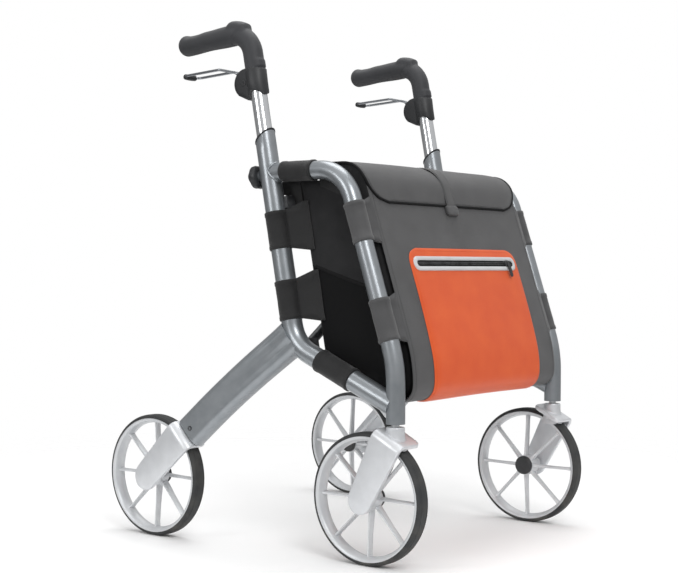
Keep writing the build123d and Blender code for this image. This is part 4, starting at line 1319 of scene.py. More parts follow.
def bent_line(corners, spacing):
    """Evenly spaced places along corners (ahead, up, radius), each with its outward direction."""
    path = [Vector(corners[0][:2])]
    for before, here, after in zip(corners, corners[1:], corners[2:]):
        corner = Vector(here[:2])
        back, on = (Vector(before[:2]) - corner).normalized(), (Vector(after[:2]) - corner).normalized()
        half = back.angle(on) / 2
        centre = corner + (back + on).normalized() * here[2] / math.sin(half)
        start, end = (corner + way_out * here[2] / math.tan(half) - centre for way_out in (back, on))
        path += [centre + start.lerp(end, k / 10).normalized() * here[2] for k in range(11)]
    path.append(Vector(corners[-1][:2]))
    lengths = [0.0]
    for a, b in zip(path, path[1:]):
        lengths.append(lengths[-1] + (b - a).length)
    count = math.ceil(lengths[-1] / spacing)
    line, i = [], 0
    for k in range(count + 1):
        reach = lengths[-1] * k / count
        while i < len(path) - 2 and lengths[i + 1] < reach:
            i += 1
        share = (reach - lengths[i]) / max(1e-9, lengths[i + 1] - lengths[i])
        along = (path[i + 1] - path[i]).normalized()
        line.append((path[i].lerp(path[i + 1], share), Vector((-along.y, along.x)), reach))
    return line


def cloth_grid(line, half_wide, columns, lift=None):
    """Points and faces of a panel along line; half_wide gives its half width from the distance run."""
    points, faces = [], []
    for place, out, reach in line:
        for j in range(columns + 1):
            across = (2 * j / columns - 1) * half_wide(reach)
            here = place + out * (lift(reach, across) if lift else 0.0)
            points.append(at(here.x, here.y, across))
    row = columns + 1
    for i in range(len(line) - 1):
        faces += [
            (i * row + j, (i + 1) * row + j, (i + 1) * row + j + 1, i * row + j + 1)
            for j in range(columns)
        ]
    return points, faces


print("base rises to", round(base_up(back_ahead(330)), 1), "mm at the back")

# %% [markdown]
# ## Settling cloth
# Real cloth is never flat: it bellies out between its seams and sags under its own weight. Each panel is
# held where it is sewn or wrapped round a tube, and Blender's cloth pushes the rest outwards for twenty
# frames. A cap on how far a point may move keeps it off the tubes.

# %% Cloth and thickness
CLOTH_FRAMES, CLOTH_STIFFNESS = 20, 18.0


def settle(obj, held, pressure, cap, weight=0.0):
    """Runs cloth on obj, held where held(point) is above zero, moving no point further than cap mm."""
    start = [v.co.copy() for v in obj.data.vertices]
    group = obj.vertex_groups.new(name="held")
    for vertex in obj.data.vertices:
        group.add([vertex.index], held(vertex.co / MM), "REPLACE")
    cloth = obj.modifiers.new("cloth", "CLOTH")
    cloth.settings.quality = 6
    cloth.settings.mass = 0.3
    cloth.settings.tension_stiffness = CLOTH_STIFFNESS
    cloth.settings.compression_stiffness = CLOTH_STIFFNESS
    cloth.settings.bending_stiffness = 1.2
    cloth.settings.vertex_group_mass = "held"
    cloth.settings.use_pressure = True
    cloth.settings.uniform_pressure_force = pressure
    cloth.settings.effector_weights.gravity = weight
    cloth.collision_settings.use_collision = False
    cloth.point_cache.frame_end = CLOTH_FRAMES
    for frame_number in range(1, CLOTH_FRAMES + 1):
        scene.frame_set(frame_number)
    moved = obj.evaluated_get(bpy.context.evaluated_depsgraph_get()).data
    places = [v.co.copy() for v in moved.vertices]
    obj.modifiers.clear()
    obj.vertex_groups.clear()
    scene.frame_set(1)
    furthest = 0.0
    for vertex, before, after in zip(obj.data.vertices, start, places):
        move = after - before
        if move.length > cap * MM:
            move = move.normalized() * cap * MM
        vertex.co = before + move
        furthest = max(furthest, move.length)
    print(obj.name, "moved up to", round(furthest / MM, 1), "mm")
    return obj


def thicken(obj, thickness):
    """Gives a sheet its thickness, inwards, and one subdivision."""
    wall = obj.modifiers.new("wall", "SOLIDIFY")
    wall.thickness = thickness * MM
    wall.offset = -1.0
    smooth = obj.modifiers.new("smooth", "SUBSURF")
    smooth.levels = smooth.render_levels = 1
    return kept_mesh(obj)


def bag_piece(obj, slot_name, *stands_for, finish=None, body="right_frame", sharp=50.0, tidy=True):
    """Dresses a bag piece on its body and gives it a mesh of its own."""
    place_on(obj, body, slot_name, *stands_for, finish=finish, sharp=sharp, tidy=tidy)
    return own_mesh(obj)


# %% [markdown]
# ## The black shell
# Sides, back and base are one sewn shell of black cloth, open at the top. It is lofted: each ring runs
# round the bag at one level, from the front line to the back line, and the last rings close the base. Cloth
# lets the sides belly between the tubes and the base sag a little.

# %% Shell of the bag
SHELL_HALF = PANEL_HALF - 2.5
SEAM_FALL, SEAM_LEVEL = 0.296, 471.4
SHELL_COUNT, SHELL_SPACING = 150, 9.0


def shell_rings():
    foot = base_up(CASTER_AHEAD + PANEL_OUT - 4)
    back_foot_ahead = back_ahead(312.0)
    middle = (CASTER_AHEAD + back_foot_ahead) / 2
    front = bent_line(front_corners(PANEL_OUT - 4, 574, foot) + [(middle, base_up(middle), 0)], 3.0)
    back_up = base_up(back_foot_ahead)
    back = bent_line(
        [(back_ahead(585), 585, 0), (back_ahead(back_up), back_up, 24.0), (middle, base_up(middle), 0)],
        3.0
    )
    rings = []
    steps = 46
    for k in range(steps + 1):
        share = min(k, 40) / 40 * 0.80 + max(0, k - 40) / 6 * 0.145
        ahead_end, rear_end = (line[round(share * (len(line) - 1))][0] for line in (front, back))
        tuck = max(0.0, share - 0.76) / 0.185
        half = SHELL_HALF - 16.0 * (1 - math.sqrt(max(0.0, 1 - min(1.0, tuck) ** 2)))
        span = (ahead_end - rear_end).length
        ring = []
        for x, y in with_side_points(rounded_rect(half, span / 2, 12.0, 4), SHELL_SPACING):
            t = (y + span / 2) / span
            here = rear_end.lerp(ahead_end, t)
            ring.append(at(here.x, here.y, x))
        rings.append(ring)
    return rings


def even_ring(ring, count):
    """The same closed ring with count points, evenly spaced from its first one."""
    closed = ring + ring[:1]
    lengths = [0.0]
    for a, b in zip(closed, closed[1:]):
        lengths.append(lengths[-1] + (b - a).length)
    made, i = [], 0
    for k in range(count):
        reach = lengths[-1] * k / count
        while lengths[i + 1] < reach:
            i += 1
        made.append(
            closed[i].lerp(closed[i + 1], (reach - lengths[i]) / max(1e-9, lengths[i + 1] - lengths[i]))
        )
    return made


shell_levels = [even_ring(ring, SHELL_COUNT) for ring in shell_rings()]
base_ring = shell_levels[-1]
base_middle = sum(base_ring, Vector()) / len(base_ring)
shell_levels += [[base_middle.lerp(p, share) for p in base_ring] for share in (0.9, 0.75, 0.55, 0.35, 0.15)]
points, faces = skin(shell_levels, caps=False)
points.append(base_middle)
last = (len(shell_levels) - 1) * SHELL_COUNT
faces += [(last + k, last + (k + 1) % SHELL_COUNT, len(points) - 1) for k in range(SHELL_COUNT)]
shell = mesh_object("bag_shell", points, faces)
tidy_mesh(shell.data)


def shell_held(p):
    """1 at the rim and along the upright edges, where wraps and seams hold the shell."""
    ahead, up = -p.y, p.z
    on_side = abs(p.x) > SHELL_HALF - 14
    near_edge = min(abs(ahead - back_ahead(up)), abs(hoop_ahead(max(up, 300.0)) + PANEL_OUT - ahead)) < 16
    return 1.0 if up > 560 or (on_side and near_edge) else 0.0


settle(shell, shell_held, 1.2, 4.5, weight=0.25)
print("shell of", len(shell.data.polygons), "faces")

# %% [markdown]
# ## The grey front
# The front is one stiff coated panel, from the rim down the hoops and round under the base. It is the
# broadest surface of the walker, so its slow belly matters: the cloth run pushes it forwards, held at its
# side seams, and every later piece on it is laid on the shape that comes out.

# %% Front panel
FRONT_TOP = 574.0
front_foot = base_up(CASTER_AHEAD + PANEL_OUT)
under_ahead = 196.0
panel_corners = front_corners(PANEL_OUT + 1.5, FRONT_TOP, front_foot - 1.5)
panel_corners.append((under_ahead, base_up(under_ahead, 2.0), 0))
front_line = bent_line(panel_corners, 8.0)
front = mesh_object("bag_front_panel", *cloth_grid(front_line, lambda reach: PANEL_HALF - 1.5, 52))
tidy_mesh(front.data)


def front_held(p):
    at_seam = abs(p.x) > PANEL_HALF - 8 or p.z > FRONT_TOP - 10 or -p.y < under_ahead + 12
    return 1.0 if at_seam else 0.0


settle(front, front_held, 0.9, 3.0)


def surface_of(obj):
    """A copy of obj's faces that places can be dropped onto."""
    work = bmesh.new()
    work.from_mesh(obj.data)
    tree = BVHTree.FromBMesh(work)
    work.free()
    return tree


def laid_on(surface, place, out, across, above):
    """The point above a surface, from a side-view place and its outward direction."""
    start = at(place.x, place.y, across)
    outward = at(out.x / MM, out.y / MM)
    hit = surface.ray_cast(start + outward * 0.03, -outward, 0.06)
    return (hit[0] if hit[0] else start) + outward * above * MM


front_surface = surface_of(front)
thicken(front, 2.4)
thicken(shell, 1.6)

# %% [markdown]
# The sides and back are a matt weave that is darker below the sloping seam. The height above the seam's
# line picks between the two colours, so the change follows the welt.

# %% Side panel cloth
def two_tone_cloth():
    """Matt black cloth for the sides and back, darker below the sloping seam."""
    made = finish_tree("side_panel_polyester", colour(38, 38, 39), colour(46, 46, 47), 0.66, weave_group,
                       {"Thread": 0.0014}, masks=("Shade", "Height"), bump=0.6, bump_depth=0.0003,
                       **{"Specular IOR Level": 0.1, "Sheen Weight": 0.05, "Sheen Roughness": 0.45})
    tree = made.node_tree
    shader = next(n for n in tree.nodes if n.bl_idname == "ShaderNodeBsdfPrincipled")
    paint = shader.inputs["Base Color"].links[0].from_socket
    place = add_node(tree, "ShaderNodeTexCoord").outputs["Object"]
    level = add_node(
        tree, "ShaderNodeVectorMath", {0: place, 1: (0.0, -SEAM_FALL, 1.0)}, operation="DOT_PRODUCT"
    )
    above = add_node(tree, "ShaderNodeMapRange",
                     {0: level.outputs["Value"], 1: (SEAM_LEVEL - 1) * MM, 2: (SEAM_LEVEL + 1) * MM})
    mix = add_node(
        tree, "ShaderNodeMix", {0: above.outputs[0], 6: colour(17, 17, 18), 7: paint}, data_type="RGBA"
    )
    tree.links.new(mix.outputs[2], shader.inputs["Base Color"])
    return made


bag_piece(front, "bag_grey", "bag_front", tidy=False)
bag_piece(shell, "bag_black", "bag_sides", "bag_back", finish=two_tone_cloth(), tidy=False)
print("sides and back of", len(shell.data.polygons), "faces")

# %% [markdown]
# ## Pocket and zip
# An orange coated pocket covers the middle of the front and carries on under the base. Its slot is framed
# by a pale raised border, with a dark tape and two rows of teeth behind it. Every piece is dropped onto the
# settled front from outside, so none of them floats or sinks in.

# %% Pocket
POCKET_HALF, POCKET_TOP, POCKET_ROUND = 158.0, 476.0, 25.0
POCKET_END = 202.0
pocket_corners = front_corners(PANEL_OUT + 2.2, POCKET_TOP, base_up(CASTER_AHEAD + PANEL_OUT) - 2.2)
pocket_corners.append((POCKET_END, base_up(POCKET_END, 3.0), 0))
pocket_line = bent_line(pocket_corners, 5.0)


def pocket_half(reach):
    left = max(0.0, POCKET_ROUND - reach)
    return POCKET_HALF - POCKET_ROUND + math.sqrt(max(0.0, POCKET_ROUND ** 2 - left ** 2))


def edge_share(reach, across, half, width=14.0):
    """0 at a panel's edge rising to 1 once width inside it."""
    inside_by = min(half - abs(across), reach)
    return min(1.0, max(0.0, inside_by / width))


POCKET_COLUMNS = 60
faces = cloth_grid(pocket_line, pocket_half, POCKET_COLUMNS)[1]
laid = []
for place, out, reach in pocket_line:
    for j in range(POCKET_COLUMNS + 1):
        across = (2 * j / POCKET_COLUMNS - 1) * pocket_half(reach)
        share = edge_share(reach, across, pocket_half(reach))
        swell = 1.3 * math.sin(share * math.pi / 2) + 1.0 * math.sin(reach / 58.0 + across / 90.0) * share
        laid.append(laid_on(front_surface, place, out, across, 1.2 + max(0.0, swell)))
pocket = mesh_object("bag_pocket", laid, faces)
tidy_mesh(pocket.data)
pocket_surface = surface_of(pocket)
thicken(pocket, 1.3)
bag_piece(pocket, "pocket_orange", "pocket", tidy=False)
print("pocket of", len(pocket.data.polygons), "faces")

# %% Zip border
ZIP_UP, ZIP_SHIFT = 451.0, 2.0


def zip_place(up_by):
    """The side-view place and outward direction on the pocket, up_by mm above the zip's middle."""
    height = ZIP_UP + up_by * math.cos(math.radians(HOOP_SLANT))
    shift = (PANEL_OUT + 2) / math.cos(math.radians(HOOP_SLANT))
    slope = math.radians(HOOP_SLANT)
    return Vector((hoop_ahead(height) + shift, height)), Vector((math.cos(slope), math.sin(slope)))


def zip_point(across, up_by, above):
    place, out = zip_place(up_by)
    return laid_on(pocket_surface, place, out, across, above)


def zip_ring(half_long, half_high, above):
    return [
        zip_point(x - ZIP_SHIFT, y, above)
        for x, y in with_side_points(rounded_rect(half_long, half_high, half_high, 6), 6.0)
    ]


def matched(rings):
    count = max(len(ring) for ring in rings)
    return [even_ring(ring, count) for ring in rings]


border_rings = matched(
    [
        zip_ring(140.0, 5.0, -0.6), zip_ring(140.0, 5.0, 1.2), zip_ring(141.0, 5.8, 2.1),
        zip_ring(146.0, 10.4, 2.1), zip_ring(147.6, 11.6, 1.3), zip_ring(148.0, 11.9, -0.6),
    ]
)
border = mesh_object("zip_border", *skin(border_rings, loop=True))
bag_piece(border, "zip_light", "zip_band")
tape_rings = matched([zip_ring(140.5, 5.4, 0.1), zip_ring(140.4, 5.3, 0.7), zip_ring(120.0, 0.6, 0.7)])
tape = mesh_object("zip_tape", *skin(tape_rings))
bag_piece(tape, "bag_black", finish=binding)
print("pocket and zip border laid on")

# %% [markdown]
# ## Small things in rows
# Zip teeth and stitches are one short shape repeated along a line, turned to follow it. One Geometry Nodes
# tree does both. It resamples the line it is given at a named pitch, sets the shape on each point, and
# makes the copies real, because an exported model has no instances.

# %% A tree that sets a shape along a line
def row_tree():
    tree = bpy.data.node_groups.new("row_along_a_line", "GeometryNodeTree")
    for label, kind in (
        ("Geometry", "NodeSocketGeometry"), ("Pitch", "NodeSocketFloat"), ("Long", "NodeSocketFloat"),
        ("Wide", "NodeSocketFloat"), ("Deep", "NodeSocketFloat"), ("Finish", "NodeSocketMaterial")
    ):
        tree.interface.new_socket(label, in_out="INPUT", socket_type=kind)
    tree.interface.new_socket("Geometry", in_out="OUTPUT", socket_type="NodeSocketGeometry")
    into, out = tree.nodes.new("NodeGroupInput"), tree.nodes.new("NodeGroupOutput")
    curve = add_node(tree, "GeometryNodeMeshToCurve", {"Mesh": into.outputs["Geometry"]})
    spaced = add_node(
        tree, "GeometryNodeResampleCurve", {"Curve": curve.outputs[0], "Length": into.outputs["Pitch"]},
        mode="LENGTH"
    )
    size = add_node(
        tree, "ShaderNodeCombineXYZ",
        {0: into.outputs["Wide"], 1: into.outputs["Deep"], 2: into.outputs["Long"]}
    )
    shape = add_node(tree, "GeometryNodeMeshUVSphere", {"Segments": 6, "Rings": 4, "Radius": 0.5})
    sized = add_node(tree, "GeometryNodeTransform", {"Geometry": shape.outputs[0], "Scale": size.outputs[0]})
    along = add_node(tree, "GeometryNodeInputTangent").outputs[0]
    turn_to = add_node(tree, "FunctionNodeAlignRotationToVector", {"Vector": along}, axis="Z")
    spread = add_node(
        tree, "GeometryNodeInstanceOnPoints",
        {"Points": spaced.outputs[0], "Instance": sized.outputs[0], "Rotation": turn_to.outputs[0]}
    )
    real = add_node(tree, "GeometryNodeRealizeInstances", {"Geometry": spread.outputs[0]})
    dressed = add_node(
        tree, "GeometryNodeSetMaterial", {"Geometry": real.outputs[0], "Material": into.outputs["Finish"]}
    )
    tree.links.new(dressed.outputs[0], out.inputs[0])
    return tree


rows_tree = row_tree()


def row_of(name, lines, body, slot_name, pitch, size, finish, folds=False):
    """Small rounded shapes along each line of points; size is (along, wide, deep) in millimetres."""
    points, edges = [], []
    for line in lines:
        first = len(points)
        points += line
        edges += [(first + k, first + k + 1) for k in range(len(line) - 1)]
    obj = mesh_object(name, points, [], edges)
    long, wide, deep = (part * MM for part in size)
    run_tree(obj, rows_tree, Pitch=pitch * MM, Long=long, Wide=wide, Deep=deep, Finish=finish)
    place_on(obj, body, slot_name, finish=finish, sharp=80.0, tidy=False)
    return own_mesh(obj) if folds else obj


teeth_lines = [[zip_point(x - ZIP_SHIFT, y, 1.3) for x in range(-138, 139, 6)] for y in (-1.3, 1.3)]
row_of("zip_teeth", teeth_lines, "right_frame", "bag_black", 1.8, (1.2, 1.9, 1.5), black_plastic, folds=True)


STITCH_SIZE, STITCH_PITCH, STITCH_PROUD = (2.5, 0.7, 0.6), 3.6, 0.2


def seam_on(surface, line, half, inset, start=0.0):
    """Lines of points inset from the side edges of a panel."""
    return [
        [
            laid_on(surface, place, out, s * (half(reach) - inset), STITCH_PROUD)
            for place, out, reach in line if reach >= start
        ] for s in (-1, 1)
    ]


pocket_seams = seam_on(pocket_surface, pocket_line, pocket_half, 5.0, start=POCKET_ROUND)
top_place, top_out, _ = pocket_line[1]
pocket_seams.append([laid_on(pocket_surface, top_place, top_out, x, 0.2) for x in range(-132, 133, 6)])
row_of(
    "pocket_stitches", pocket_seams, "right_frame", "pocket_orange", STITCH_PITCH, STITCH_SIZE,
    pocket_orange, folds=True
)
front_seams = seam_on(front_surface, front_line, lambda reach: PANEL_HALF, 9.0)
row_of(
    "front_stitches", front_seams, "right_frame", "bag_grey", STITCH_PITCH, STITCH_SIZE, thread,
    folds=True
)
print("zip teeth and stitches in rows")

# %% [markdown]
# ## The puller
# The zip's slider is a small black body with a long pull tab that hangs down over the border. It slides on
# its own body of the model, so it is a piece of its own.

# %% Slider and tab
SLIDER_X = 118.0


def slab(half_wide, half_high, corner, low, high, mid, soften=0.5):
    """A rounded flat piece on the zip's plane, from low to high above the pocket."""
    centre = zip_point(mid[0], mid[1], 0.0)
    up, out = way(90 + HOOP_SLANT), HOOP_OUT
    rings = []
    for inset, above in ((0.0, low), (0.0, high - soften), (soften, high)):
        outline = rounded_rect(half_wide - inset, half_high - inset, max(0.4, corner - inset), 4)
        rings.append([centre + Vector((x * MM, 0, 0)) + up * y * MM + out * above * MM for x, y in outline])
    return skin(rings)


slider_parts = gathered([
    slab(6.0, 5.2, 2.4, 1.0, 4.0, (SLIDER_X, 0.0), 0.8), slab(2.2, 3.0, 1.0, 3.8, 5.4, (SLIDER_X, 0.6), 0.6),
    slab(3.9, 11.6, 3.6, 4.2, 5.8, (SLIDER_X + 1.0, -12.6), 0.5),
])
slider = mesh_object("zip_slider_and_tab", *slider_parts)
bag_piece(slider, "black_plastic", "zip_slider", body="zip_slider", sharp=45.0)
print("slider of", len(slider.data.polygons), "faces")

# %% [markdown]
# ## The lid
# A flap of the same grey cloth covers the top and folds down over the front, with two large round lower
# corners and a dark tape bound round its edge. A strap with a hook keeps it shut. The flap turns on its own
# body, so it is separate from the panels below it.

# %% Flap
LID_HALF, LID_TOP, LID_REAR, LID_LOW, LID_ROUND = 216.0, 607.4, 44.0, 546.0, 48.0
LID_OUT = 19.0


def lid_line(above, spacing, rear=LID_REAR, low=LID_LOW):
    shift = (LID_OUT + above) / math.cos(math.radians(HOOP_SLANT))
    top = LID_TOP + above
    corners = [
        (rear, top, 0), (hoop_ahead(top) + shift, top, 46.0 + above), (hoop_ahead(low) + shift, low, 0)
    ]
    return bent_line(corners, spacing)


flap_line = lid_line(0.0, 6.0)
flap_run = flap_line[-1][2]


def lid_half(reach):
    left = max(0.0, LID_ROUND - (flap_run - reach))
    return LID_HALF - LID_ROUND + math.sqrt(max(0.0, LID_ROUND ** 2 - left ** 2))


def lid_belly(reach, across):
    """How far the settled flap stands off its own line."""
    share = edge_share(min(reach, flap_run - reach) + 2, across, lid_half(reach), 40.0)
    return 1.6 * math.sin(share * math.pi / 2) + 0.5 * math.sin(across / 47.0 + reach / 31.0) * share


flap = mesh_object("lid_flap", *cloth_grid(flap_line, lid_half, 56, lid_belly))
tidy_mesh(flap.data)
settle(flap, lambda p: 1.0 if abs(p.x) > 204 or -p.y < 52 or p.z < 556 else 0.0, 0.5, 2.0)
flap_surface = surface_of(flap)
thicken(flap, 2.6)
bag_piece(flap, "bag_grey", "lid", body="lid", tidy=False)
print("flap", round(flap_run), "mm from its rear edge to its free edge")

# %% Edge tape and strap
def lid_edge(inset):
    """Places round the flap's sides and lower edge, inset from it."""
    side = [(reach, inset - lid_half(reach)) for _, _, reach in flap_line]
    straight = int(LID_HALF - LID_ROUND)
    lower = [(flap_run - inset * 0.7, x) for x in range(6 - straight, straight - 5, 8)]
    return side + lower + [(reach, -x) for reach, x in reversed(side)]


def lid_frame(reach):
    """The flap's place and outward direction at a distance along it."""
    share = min(max(reach / flap_run, 0.0), 1.0) * (len(flap_line) - 1)
    i = min(int(share), len(flap_line) - 2)
    a, b = flap_line[i], flap_line[i + 1]
    return a[0].lerp(b[0], share - i), a[1].lerp(b[1], share - i).normalized()


def tape_round_edge(edge, half_wide, half_thick, drop):
    """A folded tape that wraps the flap's edge: a small rounded section carried round it."""
    mids = []
    for reach, across in edge:
        place, out = lid_frame(reach)
        mids.append((laid_on(flap_surface, place, out, across, drop), at(out.x / MM, out.y / MM)))
    rings = []
    for k, (mid, out) in enumerate(mids):
        ahead = (mids[min(k + 1, len(mids) - 1)][0] - mids[max(k - 1, 0)][0]).normalized()
        side = ahead.cross(out).normalized()
        rings.append(
            [mid + side * a * MM + out * b * MM for a, b in rounded_rect(half_wide, half_thick, 1.2, 2)]
        )
    return skin(rings)


edge_tape = mesh_object("lid_edge_tape", *tape_round_edge(lid_edge(0.6), 1.9, 2.1, -1.3))
bag_piece(edge_tape, "bag_grey", finish=binding, body="lid")
stitch_line = [laid_on(flap_surface, *lid_frame(reach), across, 0.2) for reach, across in lid_edge(5.5)]
row_of("lid_stitches", [stitch_line], "lid", "bag_grey", STITCH_PITCH, STITCH_SIZE, thread, folds=True)

STRAP_HALF = 12.5


def strap_crown(reach, across):
    """How far the strap's middle stands above its edges."""
    return 0.5 * (1 - (across / STRAP_HALF) ** 2)


strap_line = lid_line(3.0, 5.0, rear=78.0, low=543.0)
strap_parts = cloth_grid(strap_line, lambda reach: STRAP_HALF, 6, strap_crown)
lid_strap = mesh_object("lid_strap_band", *strap_parts)
tidy_mesh(lid_strap.data)
thicken(lid_strap, 1.7)
bag_piece(lid_strap, "bag_grey", "strap", body="lid", tidy=False)
strap_end, strap_out, _ = strap_line[-1]
strap_way = at(strap_out.x / MM, strap_out.y / MM)
hook_middle = at(strap_end.x, strap_end.y) - strap_way * 2.0 * MM + HOOP_DOWN * 4.0 * MM
hook_rings = []
for inset, above in ((0.8, -3.2), (0.0, -2.4), (0.0, 1.8), (0.9, 2.8), (3.2, 3.1)):
    outline = rounded_rect(16.0 - inset, 8.0 - inset, 3.4, 4)
    hook_rings.append(
        [
            hook_middle + Vector((x * MM, 0, 0)) + HOOP_DOWN * y * MM + HOOP_OUT * above * MM
            for x, y in outline
        ]
    )
hook = mesh_object("lid_strap_hook", *skin(hook_rings))
bag_piece(hook, "bag_grey", body="lid")
strap_seams = [
    [at(p.x, p.y, s * 9.8) + at(o.x / MM, o.y / MM) * 0.00045 for p, o, _ in strap_line] for s in (-1, 1)
]
row_of("strap_stitches", strap_seams, "lid", "bag_grey", 3.4, (2.4, 0.6, 0.5), thread, folds=True)
print("lid flap, tape, strap and hook")

# %% [markdown]
# ## Wraps round the tubes
# The bag hangs from the tubes by cloth sleeves: grey ones round the hoops, where they run straight on into
# the front panel, and black ones round the posts and rails. Cut across, each is a circle round the tube
# drawn out to a point at the panel's edge, like a drop. Each end has a turned hem.

# %% One wrap
FLAP_STEPS = 20


def wrap(start, end, tube_r, inward, other, tip, pinch=17.0, round_corner=0.0):
    """A sleeve from start to end; tip is (along inward, along other) in mm to the panel's edge."""
    along = (end - start).normalized()
    length = (end - start).length / MM
    reach, lean = math.hypot(*tip), math.atan2(tip[1], tip[0])
    skin_r = tube_r + 1.5
    spread = math.radians(pinch)
    angles = [lean + spread + (2 * math.pi - 2 * spread) * k / 36 for k in range(37)]

    def ring(at_share, grow, inner=False):
        radius = tube_r + 0.15 if inner else skin_r + grow
        made = [(radius * math.cos(t), radius * math.sin(t)) for t in angles]
        side = (-math.sin(lean), math.cos(lean))
        half = 0.2 if inner else 1.2 + grow
        far = [
            (tip[0] - side[0] * half, tip[1] - side[1] * half),
            (tip[0] + side[0] * half, tip[1] + side[1] * half)
        ]
        if inner:
            far = [(made[-1][0] * 1.01, made[-1][1] * 1.01), (made[0][0] * 1.01, made[0][1] * 1.01)]
        last, first, below, above = (Vector(pair) for pair in (made[-1], made[0], far[0], far[1]))
        thin = [tuple(last.lerp(below, k / FLAP_STEPS)) for k in range(1, FLAP_STEPS + 1)]
        thin += [tuple(above.lerp(first, k / FLAP_STEPS)) for k in range(FLAP_STEPS)]
        points = []
        for u, v in made + thin:
            distance = max(0.0, (math.hypot(u, v) - skin_r) / max(1.0, reach - skin_r))
            late = min(1.0, max(0.0, (distance - 0.42) / 0.33))
            rounded = round_corner * (1 - math.sqrt(1 - 0.99 * late ** 2))
            opening = rounded if round_corner else 6.0 * distance ** 3
            flare = 0.0 if inner else opening * (2 * at_share - 1)
            spot = Vector((u / 9, v / 9, at_share * length / 16 + start.z * 40))
            grow_by = 1 if inner else 1 + 0.35 * noise.noise(spot) / skin_r
            point = start + along * (at_share * length + flare) * MM
            points.append(point + inward * (u * grow_by) * MM + other * (v * grow_by) * MM)
        return points

    hem_in, hem_out = 1.0 / length, 6.0 / length
    rings = [ring(0.0, -0.2), ring(hem_in, 0.75), ring(hem_out, 0.75), ring(hem_out * 1.15, 0.1)]
    rings += [ring(share, 0.1) for share in (0.3, 0.42, 0.5, 0.58, 0.7)]
    rings += [ring(1 - hem_out * 1.15, 0.1), ring(1 - hem_out, 0.75), ring(1 - hem_in, 0.75), ring(1.0, -0.2)]
    rings += [ring(1.0, 0, True), ring(0.5, 0, True), ring(0.0, 0, True)]
    return skin(rings, loop=True)


print("a wrap is cut in", FLAP_STEPS, "steps from the tube to the panel")

# %% Twelve wraps
INWARD = Vector((1, 0, 0))
hoop_spans = ((483.0, 543.0), (336.0, 398.0))
post_spans = ((473.0, 532.0), (363.0, 424.0))
TOP_SPAN, RAIL_SPAN = (37.0, 100.0), (112.0, 176.0)
grey_wraps = gathered(
    [
        wrap(
            at(hoop_ahead(low), low, -FRAME_HALF), at(hoop_ahead(high), high, -FRAME_HALF), HOOP_R,
            INWARD, HOOP_OUT, (23.0, 15.4)
        ) for low, high in hoop_spans
    ]
)
black_wraps = [
    wrap(
        at(post_ahead(low), low, -FRAME_HALF), at(post_ahead(high), high, -FRAME_HALF), POST_R, INWARD,
        POST_AHEAD, (21.0, 50.0), round_corner=10.0
    ) for low, high in post_spans
]
top_ends = [at(a, HOOP_TOP, -FRAME_HALF) for a in TOP_SPAN]
black_wraps.append(wrap(top_ends[0], top_ends[1], HOOP_R, INWARD, Vector((0, 0, 1)), (21.0, -12.0)))
rail_ends = [at(a, rail_up(a), -FRAME_HALF) for a in RAIL_SPAN]
black_wraps.append(wrap(rail_ends[0], rail_ends[1], POST_R, INWARD, way(90 - RAIL_DROP), (21.5, 8.0)))
both_sides("hoop_wraps", grey_wraps, "frame", "bag_grey", ["bag_sleeves"], sharp=50.0)
both_sides("tube_wraps", gathered(black_wraps), "frame", "bag_black", sharp=50.0)
print("wraps of", len(grey_wraps[1]) // 2, "faces each")

# %% [markdown]
# ## Seams and gussets
# Each side is cut from two pieces of cloth, joined by a sloping seam that shows as a dark welt. A gusset
# fills the corner between the lid and the hoop, and a small panel closes the one between the rim and the
# post.

# %% Side seam
shell_surface = surface_of(shell)


def on_side(ahead, up, sign, above):
    """The point on the shell's side at a place in the side view."""
    start = at(ahead, up, sign * 260)
    hit = shell_surface.ray_cast(start, Vector((-sign, 0, 0)), 0.1)
    return (hit[0] if hit[0] else at(ahead, up, sign * SHELL_HALF)) + Vector((sign * above * MM, 0, 0))


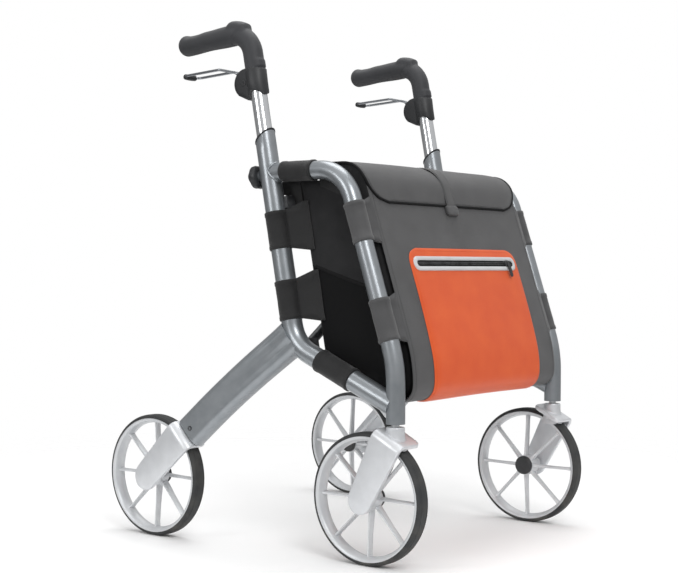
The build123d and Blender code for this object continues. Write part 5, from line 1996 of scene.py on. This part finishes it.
def side_welt(sign, line, half_wide):
    rings = []
    for k, (ahead, up) in enumerate(line):
        before, after = line[max(0, k - 1)], line[min(len(line) - 1, k + 1)]
        along = Vector((0, -(after[0] - before[0]), after[1] - before[1])).normalized()
        side = along.cross(Vector((sign, 0, 0)))
        mid = on_side(ahead, up, sign, 0.3)
        rings.append(
            [
                mid + side * a * MM + Vector((sign * b * MM, 0, 0))
                for a, b in rounded_rect(half_wide, 0.9, 0.8, 2)
            ]
        )
    return skin(rings)


welt_line = [(ahead, SEAM_LEVEL - SEAM_FALL * ahead) for ahead in range(84, 200, 8)]
for side, sign in SIDES:
    welt = mesh_object(f"{side}_side_welt", *side_welt(sign, welt_line, 2.4))
    bag_piece(welt, "bag_black", finish=binding)
seam_lines = [[on_side(a, up + 4.2, sign, 0.15) for a, up in welt_line] for _, sign in SIDES]
row_of("side_stitches", seam_lines, "right_frame", "bag_black", STITCH_PITCH, STITCH_SIZE, thread, folds=True)
print("side seam of", len(welt_line), "points")

# %% Corner gussets
GUSSET_REAR = 92.0
gusset_edge = [place for place, _, _ in lid_line(-3.4, 6.0, rear=GUSSET_REAR, low=548.0)]
gusset_low = Vector((GUSSET_REAR, 572.0))
gusset_section = (
    (0, 0.9), (0.33, 0.9), (0.66, 0.9), (1, 0.9), (1, -0.6), (0.66, -0.6), (0.33, -0.6), (0, -0.6)
)
corner_levels = (
    (546.0, 25.0), (547.0, 25.0), (552.0, 24.0), (558.0, 12.0), (561.0, -2.0), (580.0, -2.0),
    (581.0, -2.0)
)
for side, sign in SIDES:
    rings = []
    for k, place in enumerate(gusset_edge):
        share = k / (len(gusset_edge) - 1)
        foot = gusset_low.lerp(Vector((gusset_edge[-1].x - 30.0, 546.0)), share)
        rings.append(
            [
                at(*place.lerp(foot, t), sign * (SHELL_HALF + d + 1.2 * math.sin(math.pi * t)))
                for t, d in gusset_section
            ]
        )
    gusset = mesh_object(f"{side}_corner_gusset", *skin(rings))
    bag_piece(gusset, "bag_black")
    rings = []
    for up, gap in corner_levels:
        near, far = post_ahead(up) + gap, back_ahead(up) + 8.0
        sides = ((near, 0.0), (near, 1.2), (far, 1.2), (far, 0.0))
        rings.append([at(ahead, up, sign * (SHELL_HALF + out)) for ahead, out in sides])
    corner = mesh_object(f"{side}_back_corner", *skin(rings))
    bag_piece(corner, "bag_black", tidy=False)
print("seams and gussets")
